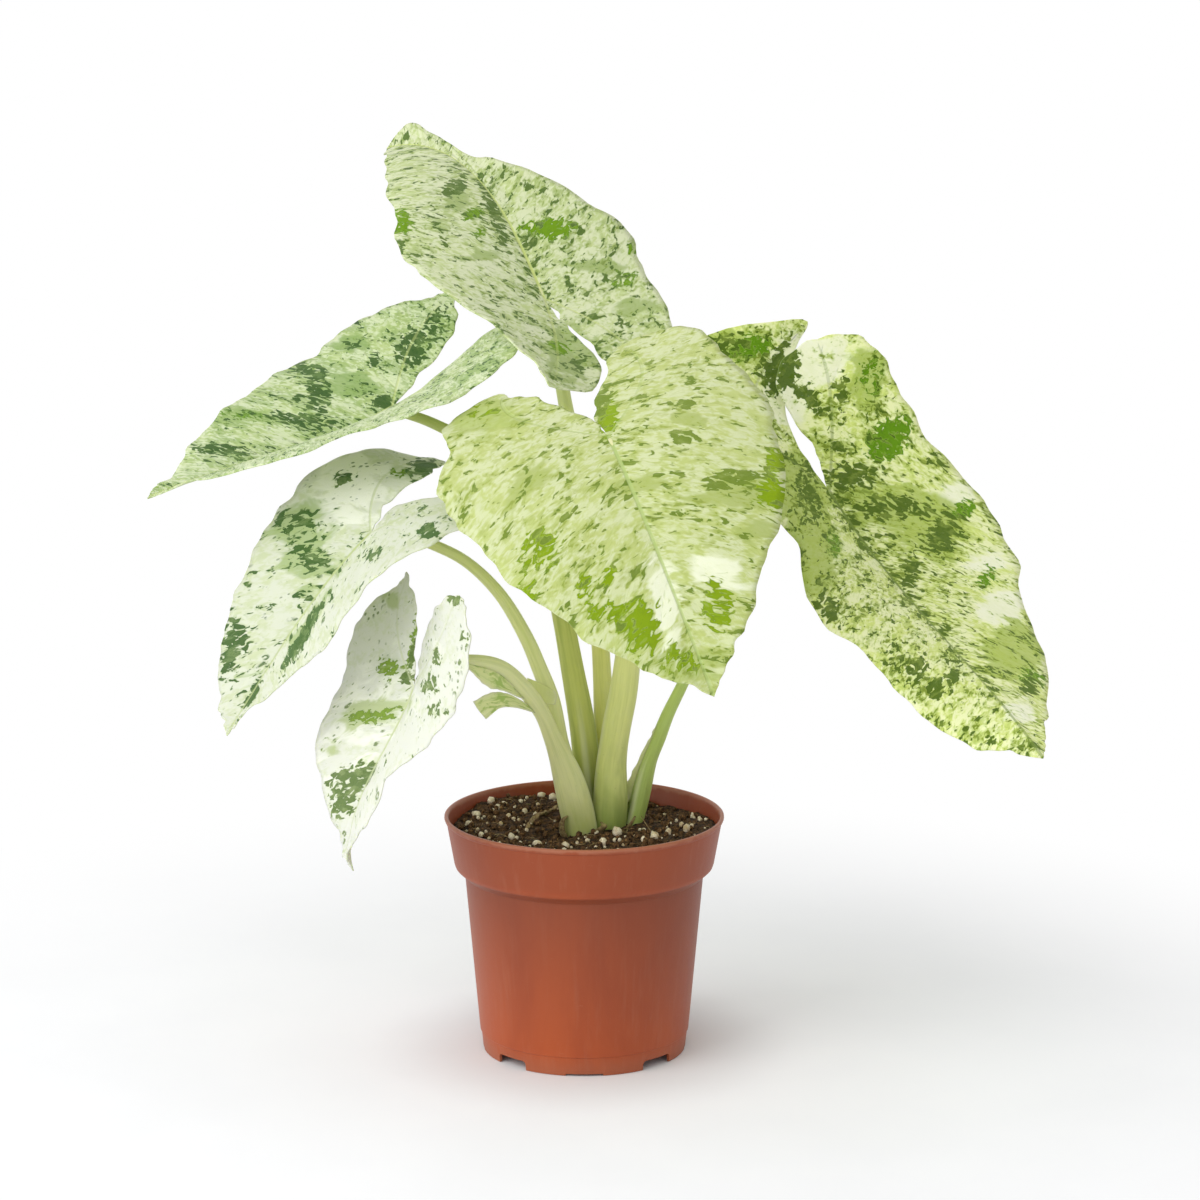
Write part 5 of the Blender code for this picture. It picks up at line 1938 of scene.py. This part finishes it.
def upper_left_leaf() -> tuple[LeafBlade, Petiole]:
    """The long leaf at the upper left."""
    shape = LeafShape(
        "upper_left", (-83, 43, 274), 212, 23, -5, 123, (-54, -46, 40), 4,
        Half((4, 5), (-60, 26), (49, 58), (61, 55, 45, 31, 13, 5), (17, 29, 10), (10, 25)),
        Half((6, 12), (-64, 30), (40, 55), (53, 50, 39, 27, 11, 5), (18, 29, 9), (10, 17)),
        (
            (2.5, 13.5, 106.3, 5.2), (1, 14, 122, 5.6), (-1, 13, 140, 5.6), (-5, 13, 164, 5.0),
            (-9, 15, 186, 4.5), (-15, 20, 211, 3.9), (-28, 27, 236, 3.2), (-45, 34, 257, 2.7),
            (-62, 39, 266, 2.4), (-73, 42, 270, 2.2),
        ),
    )
    finish = LeafFinish(
        ground=shade(211, 220, 184), tint=shade(188, 204, 142), wash=shade(144, 172, 100),
        fleck=shade(112, 140, 62), vivid=shade(116, 158, 44), dark=shade(40, 80, 34),
        rib=shade(200, 212, 136), tinted=-0.03, mottle=0.1, flecks=-1.7, specks=-1.3,
        streaks=0.1, dots=0.7, lined=0.3, roundness=0.46, fineness=1.6, rosettes=0.6,
    )
    patches = marks(
        DARK=(
            (-28, -21, 12, 7, 50, 1.0), (-12, -28, 5, 3.5, 54, 1.0), (1, -5, 7, 4, -40, 1.3),
            (21, -27, 14, 5, 55, 1.2), (16, -46, 10, 5, -64, 0.9), (39, -15, 15, 5, -42, 1.0),
            (79, -13, 12, 4, -40, 1.1), (-12, -44, 6, 4, -84, 0.7), (-47, -23, 15, 9, 54, 0.62),
        ),
        VIVID=(
            (54, -26, 18, 5, -38, 0.7),
        ),
        WASH=(
            (6, -23, 13, 9, -40, 1.2), (-12, -46, 10, 8, -84, 1.0), (-25, 42, 30, 10, 65, 0.5),
        ),
        LIME=(
            (54, -26, 20, 8, -32, 0.9),
        ),
    )
    stalk = PetioleFinish(
        shade(164, 176, 94), shade(206, 212, 122), shade(200, 211, 130), shade(152, 170, 74), 0.85
    )
    petiole = Petiole(shape, stalk, sheath_top=70, groove=0.22, swell=0.12)
    return LeafBlade(shape, finish, patches), petiole


def middle_left_leaf() -> tuple[LeafBlade, Petiole]:
    """The very pale leaf at the middle left."""
    shape = LeafShape(
        "middle_left", (-89, -20, 230), 210, 39, -9, 105, (66, 37, -30), 12,
        Half((-3, 14), (-45, 22), (41, 49), (49, 43, 40, 23, 8, 2), (7, 18, 2), (18, 4)),
        Half((7, 12), (-53, 21), (43, 51), (51, 46, 36, 29, 18, 7), (7, 21, 8), (10, 14)),
        (
            (-6.2, 9.5, 106.3, 3.2), (-6, 7, 119, 3.5), (-10, 3, 135, 3.4), (-14, -2, 154, 3.8),
            (-19, -6, 169, 3.4), (-25, -9, 184, 3.1), (-36, -12, 203, 2.7), (-50, -14, 217, 2.4),
            (-65, -16, 225, 2.3), (-79, -17, 230, 2.1),
        ),
    )
    finish = LeafFinish(
        ground=shade(212, 216, 198), tint=shade(200, 208, 172), wash=shade(160, 180, 118),
        fleck=shade(112, 138, 74), vivid=shade(104, 140, 34), dark=shade(46, 86, 32),
        rib=shade(192, 204, 148), tinted=-0.05, mottle=-1.3, flecks=-2.7, specks=-1.75,
        streaks=0.0, dots=0.8, lined=0.45, roundness=0.55, fineness=1.1, rosettes=0.9,
    )
    patches = marks(
        DARK=(
            (-14, -36, 6, 4, 73, 0.95), (-42, -18, 13, 6, 57, 1.5), (13, -36, 14, 7, -81, 0.8),
            (23, -15, 11, 7, -86, 0.8), (70, -22, 13, 7, 30, 1.0), (54, 12, 17, 5, 4, 1.4),
            (85, 1, 9, 3, 12, 1.1), (10, 20, 10, 4, 87, 0.85), (-9, 39, 9, 5, 73, 0.85),
        ),
        VIVID=(
            (-31, -21, 6, 3.5, -61, 0.9),
        ),
        WASH=(
            (13, -36, 18, 11, -81, 0.9), (24, -14, 15, 10, -86, 0.8), (50, 10, 24, 8, 4, 0.8),
        ),
        WHITE=(
            # This white area lies on the lobe in the shadow of the upper left leaf: partly real
            # white, partly painted light.
            (-14, -30, 26, 16, 70, 1.2),
        ),
        LIME=(
            (-31, -21, 8, 6, -61, 1.0),
        ),
    )
    stalk = PetioleFinish(
        shade(186, 200, 118), shade(232, 236, 172), shade(222, 228, 156), shade(184, 197, 112), 0.6
    )
    petiole = Petiole(shape, stalk, sheath_top=50, groove=0.18)
    return LeafBlade(shape, finish, patches), petiole


def lower_left_leaf() -> tuple[LeafBlade, Petiole]:
    """The small white leaf that hangs at the lower left, with a torn sheath on its stalk."""
    shape = LeafShape(
        "lower_left", (-70, -52, 171), 204, 70, -2, 84, (-43, -70, 110), -12,
        Half((-2, 4), (-43, 22), (32, 40), (41, 37, 25, 23, 8, 2), (-1, 20, 22), (5, 36)),
        Half((5, 10), (-42, 25), (32, 45), (46, 43, 37, 22, 9, 4), (5, 33, 14), (-3, 28)),
        (
            (-4, -1, 106.3, 5.4), (-9, -4, 126, 5.1), (-14, -10, 141, 3.8), (-18, -16, 152, 3.4),
            (-25, -24, 164, 3.6), (-34, -33, 175, 3.1), (-44, -41, 180, 2.5), (-56, -46, 180, 2.1),
        ),
    )
    finish = LeafFinish(
        ground=shade(221, 223, 212), tint=shade(212, 217, 194), wash=shade(180, 194, 134),
        fleck=shade(144, 162, 98), vivid=shade(134, 162, 66), dark=shade(86, 112, 56),
        rib=shade(206, 214, 172), tinted=-0.1, mottle=-1.6, flecks=-3.4, specks=-2.3,
        streaks=0.0, dots=0.8, lined=0.1, roundness=0.6, fineness=1.15, rosettes=0.9,
    )
    patches = marks(
        DARK=(
            (-3, -5, 5, 2.5, -73, 1.2), (-13, -6, 8, 2, 8, 0.9), (45, -7, 14, 5, -55, 1.3),
            (57, -7, 8, 4, -50, 1.1), (-4, 17, 8, 4, 88, 0.9), (4, 29, 7, 3, -77, 0.8),
            (-28, 34, 4, 3, 50, 0.8), (-41, 20, 6, 3, -86, 0.8), (-16, 16, 5, 3.5, 67, 0.8),
        ),
        VIVID=(
            (-4, -16, 8, 5, -90, 0.9), (-16, -7, 12, 2.5, 8, 0.9), (19, -14, 15, 3.5, -60, 0.9),
        ),
        WASH=(
            (18, -16, 20, 6, -62, 1.1), (-32, -31, 8, 4, 89, 0.9), (39, -22, 7, 3, -75, 0.8),
        ),
        WHITE=(
            # This broad white area lies on the half in the shadow of the middle left leaf: partly
            # real white, partly painted light.
            (20, -20, 50, 24, -40, 0.6),
        ),
        LIME=(
            (-4, -15, 10, 8, -90, 0.9),
        ),
    )
    stalk = PetioleFinish(
        shade(192, 202, 124), shade(228, 230, 168), shade(230, 233, 176), shade(182, 196, 120), 0.5
    )
    petiole = Petiole(shape, stalk, sheath_top=52, groove=0.12, flare=0.22, swell=0.26)
    return LeafBlade(shape, finish, patches), petiole


def front_leaf() -> tuple[LeafBlade, Petiole]:
    """The broad leaf in front, which faces the viewer."""
    shape = LeafShape(
        "front", (10, -48, 275), -76, 20, 16, 140, (6, 46, -9), 3,
        Half((-1, 12), (-71, 23), (53, 60), (67, 64, 57, 38, 21, 7), (10, 10, 11), (8, 27), -3),
        Half((4, 21), (-56, 34), (60, 63), (74, 68, 60, 44, 25, 9), (1, 7, 4), (10, 20), 2),
        (
            (11.5, 6, 106.3, 5.8), (12, 6, 124, 5.8), (14, 3, 140, 6.0), (17, -1, 158, 6.0),
            (19, -6, 179, 5.3), (20, -13, 204, 4.2), (18, -22, 227, 3.6), (15, -34, 251, 3.1),
            (12, -43, 265, 2.7),
        ),
    )
    finish = LeafFinish(
        ground=shade(206, 213, 168), tint=shade(188, 199, 126), wash=shade(168, 182, 102),
        fleck=shade(154, 168, 78), vivid=shade(134, 162, 6), dark=shade(100, 126, 30),
        rib=shade(176, 194, 122), tinted=0.0, mottle=-0.35, flecks=-1.45, specks=-1.25,
        streaks=0.2, dots=0.05, lined=0.15, roundness=0.5, fineness=1.0,
    )
    patches = marks(
        DARK=(
            (48, 42, 10, 3, 75, 1.4), (50, 31, 8, 3, 70, 1.1), (19, 28, 7, 3.5, 50, 1.2),
            (-4, 35, 5, 3.5, -9, 1.1), (42, -27, 5, 2.5, -55, 1.0), (-31, 2, 14, 6, -19, 1.4),
        ),
        VIVID=(
            (-48, -44, 14, 7, 32, 0.55), (54, -43, 12, 9, -8, 0.85), (78, -22, 4.5, 3, -37, 1.2),
            (79, -32, 6, 3, -18, 1.2), (92, -30, 6.5, 4.5, 63, 1.0), (103, -18, 10, 6.5, -18, 1.6),
            (106, 14, 10, 6, -17, 1.1), (62, 52, 6.5, 5.5, -38, 1.8), (42, 60, 7, 4, -19, 1.6),
            (50, 40, 13, 4, 75, 0.7), (123, -7, 10, 7, 73, 0.7), (73, -54, 7, 4, 5, 1.0),
            (-16, 4, 17, 4.5, -12, 1.4),
        ),
        WASH=(
            (8, 33, 9, 5, 60, 1.3), (58, 38, 18, 6, 73, 1.3), (77, 40, 9, 4.5, 77, 1.2),
            (37, 5, 8, 5, 60, 1.1), (16, -38, 22, 8, -60, 0.8),
        ),
        WHITE=(
            (97, -5, 17, 5, -12, 1.4), (91, 20, 15, 7, 40, 1.1),
        ),
        LIME=(
            (-44, -45, 19, 12, 32, 1.3), (126, -4, 14, 10, 73, 0.8),
        ),
    )
    stalk = PetioleFinish(
        shade(150, 169, 88), shade(229, 233, 152), shade(236, 236, 173), shade(188, 199, 116), 0.45
    )
    petiole = Petiole(shape, stalk, sheath_top=85, groove=0.2, flare=0.05, swell=0.26)
    return LeafBlade(shape, finish, patches), petiole


def right_leaf() -> tuple[LeafBlade, Petiole]:
    """The long drooping leaf on the right, with its lobes folded over each other."""
    shape = LeafShape(
        "right", (105, 19, 241), -60, 38, 1, 186, (-88, -46, 33), -8,
        Half((2, -8), (-73, 14), (40, 50), (62, 66, 52, 40, 18, 7), (21, 11, -17), (29, 19), 7),
        Half((5, -3), (-81, -18), (54, 56), (50, 47, 60, 42, 28, 12), (-7, 29, -30), (27, 34), -3),
        (
            (23.5, 12, 106.3, 3.9), (25, 12, 113, 3.9), (28, 10, 125, 3.5), (32, 8, 135, 3.2),
            (36, 6, 146, 2.8), (42, 5, 159, 2.5), (53, 8, 183, 2.5), (65, 12, 206, 2.5),
            (75, 16, 225, 2.5), (88, 19, 237, 2.4),
        ),
    )
    finish = LeafFinish(
        ground=shade(236, 241, 192), tint=shade(214, 226, 134), wash=shade(176, 196, 88),
        fleck=shade(130, 152, 38), vivid=shade(106, 154, 8), dark=shade(66, 98, 12),
        rib=shade(128, 150, 70), tinted=0.0, mottle=-0.1, flecks=-1.05, specks=-1.15,
        streaks=0.15, dots=0.1, lined=0.55, roundness=0.68, fineness=1.1,
    )
    patches = marks(
        DARK=(
            (-46, 6, 8, 4, 30, 1.1), (-46, 21, 7, 4, -13, 0.9), (-4, 13, 12, 6, 80, 1.2),
            (17, 22, 20, 8, 80, 0.9), (39, 35, 13, 8, -53, 1.05), (57, 9, 13, 4, -34, 1.0),
            (135, -23, 5, 2.8, -32, 1.6), (129, -13, 5.5, 2.8, -35, 1.4), (122, -26, 11, 5, -34, 0.9),
            (133, 24, 9, 4, -44, 1.2), (8, -19, 28, 6, -30, 1.0), (88, -53, 10, 7, -48, 0.95),
            (-75, -20, 9, 6, 61, 0.9), (-64, 1, 12, 3.5, -25, 1.2), (-60, -6, 8, 6, 0, 0.9),
        ),
        VIVID=(
            (-50, 36, 12, 6, -14, 0.7), (-19, 37, 13, 7, -60, 1.6), (26, 53, 8, 4, -64, 1.1),
            (65, 43, 9, 4, -55, 0.9), (129, 27, 9, 5, -50, 1.2), (42, -26, 18, 4, -30, 0.8),
            (-73, -18, 7, 5, -78, 1.2), (-73, -8, 7, 4.5, 84, 1.2),
        ),
        WASH=(
            (-52, 34, 15, 10, -14, 1.3), (17, 24, 24, 14, 80, 1.2), (40, 30, 20, 12, -60, 0.9),
            (112, 28, 20, 10, -53, 1.8), (6, -22, 34, 12, -34, 1.5), (57, -46, 26, 9, -29, 1.5),
            (-74, -18, 14, 11, 60, 1.1),
        ),
        WHITE=(
            (-62, 12, 16, 11, 80, 1.7), (-44, -3, 10, 7, 13, 1.7), (17, 54, 9, 6, -72, 1.3),
            (84, 38, 16, 8, -58, 1.3), (57, 48, 12, 6, -85, 1.1), (154, 6, 11, 6, -51, 1.1),
        ),
        LIME=(
            (42, -26, 20, 7, -30, 1.0),
        ),
    )
    stalk = PetioleFinish(
        shade(169, 188, 103), shade(197, 216, 126), shade(190, 212, 126), shade(152, 175, 88), 0.5
    )
    petiole = Petiole(shape, stalk, sheath_top=42, groove=0.16, flare=0.1, swell=0.18)
    return LeafBlade(shape, finish, patches), petiole


FLAP_SKIN = PetioleFinish(
    shade(214, 220, 164), shade(232, 236, 190), shade(210, 220, 158), shade(140, 174, 84), 0.6, 0.75
)
COLLAR_SKIN = PetioleFinish(
    shade(200, 206, 152), shade(208, 214, 160), shade(206, 212, 150), shade(182, 192, 124), 0.4
)


def sheath_pieces() -> tuple[SheathFlap, ...]:
    """The lower left leaf's torn sheath, its collar, and the right leaf's wing."""
    upper = (
        ((-19.5, -17, 154.5), (-20.3, -18.5, 155.5), (-21, -20, 157)),
        ((-30.6, -29, 170.7), (-33.1, -33, 168.2), (-35.1, -36, 166.3)),
        ((-38.8, -36, 177.4), (-39.6, -40, 173.6), (-40.0, -41, 168.7)),
        ((-47.3, -43, 180.6), (-48.1, -45, 179.4), (-48.5, -46, 177.9)),
    )
    lower = (
        ((-17.5, -15.5, 150.5), (-18.3, -17, 151.8), (-19.5, -18, 153)),
        ((-29.4, -30, 157.5), (-31.9, -30, 160.5), (-34.0, -31, 164.1)),
        ((-35.2, -34, 158.0), (-39.3, -35, 160.8), (-40.5, -36, 164.4)),
        ((-41.0, -38, 154.3), (-44.3, -39, 158.8), (-46.3, -39, 162.1)),
    )
    collar = (
        ((-22, -15, 157), (-18.7, -12, 155), (-12.6, -9, 153.8)),
        ((-23.5, -15, 161.5), (-18, -11.5, 159.5), (-11.5, -7.5, 156.5)),
        ((-24, -14, 166.5), (-17.9, -11, 163.2), (-12.6, -8, 159.5)),
    )
    wing = (
        ((22, 11, 106), (18.8, 10, 106), (15.5, 10, 106)),
        ((22.5, 11, 112), (19.9, 10, 112), (17.2, 10, 112)),
        ((24.5, 9.5, 120), (22.8, 8.8, 120), (21, 9, 120)),
        ((27.5, 8, 129), (26.3, 7.4, 129), (25, 7.6, 129)),
        ((31, 7, 138), (30.3, 6.5, 138), (29.6, 6.5, 138)),
        ((33.5, 6, 144), (33.3, 5.8, 144), (33, 5.8, 144)),
    )
    return (
        SheathFlap("sheath_upper_flap", upper, FLAP_SKIN),
        SheathFlap("sheath_lower_flap", lower, FLAP_SKIN),
        SheathFlap("sheath_collar", collar, COLLAR_SKIN, 0.8),
        SheathFlap("sheath_wing", wing, COLLAR_SKIN, 0.45),
    )


def main() -> None:
    """Build the plant from the pot up."""
    logging.basicConfig(level=logging.INFO, format="%(name)s: %(message)s")
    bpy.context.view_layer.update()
    deselect()
    NurseryPot().build()
    soil = PottingSoil()
    bed = soil.build()
    bpy.context.view_layer.update()
    ground = BVHTree.FromObject(bed, bpy.context.evaluated_depsgraph_get())
    SoilLitter(soil, ground).build()
    Crown().build()
    leaves = (
        top_leaf, upper_left_leaf, middle_left_leaf, lower_left_leaf, front_leaf, right_leaf
    )
    for leaf in leaves:
        blade, stalk = leaf()
        blade.build()
        stalk.build()
    for flap in sheath_pieces():
        flap.build()
    Stage().build()
    bpy.context.view_layer.update()
    log.info("finished")


if __name__ == "__main__":
    main()
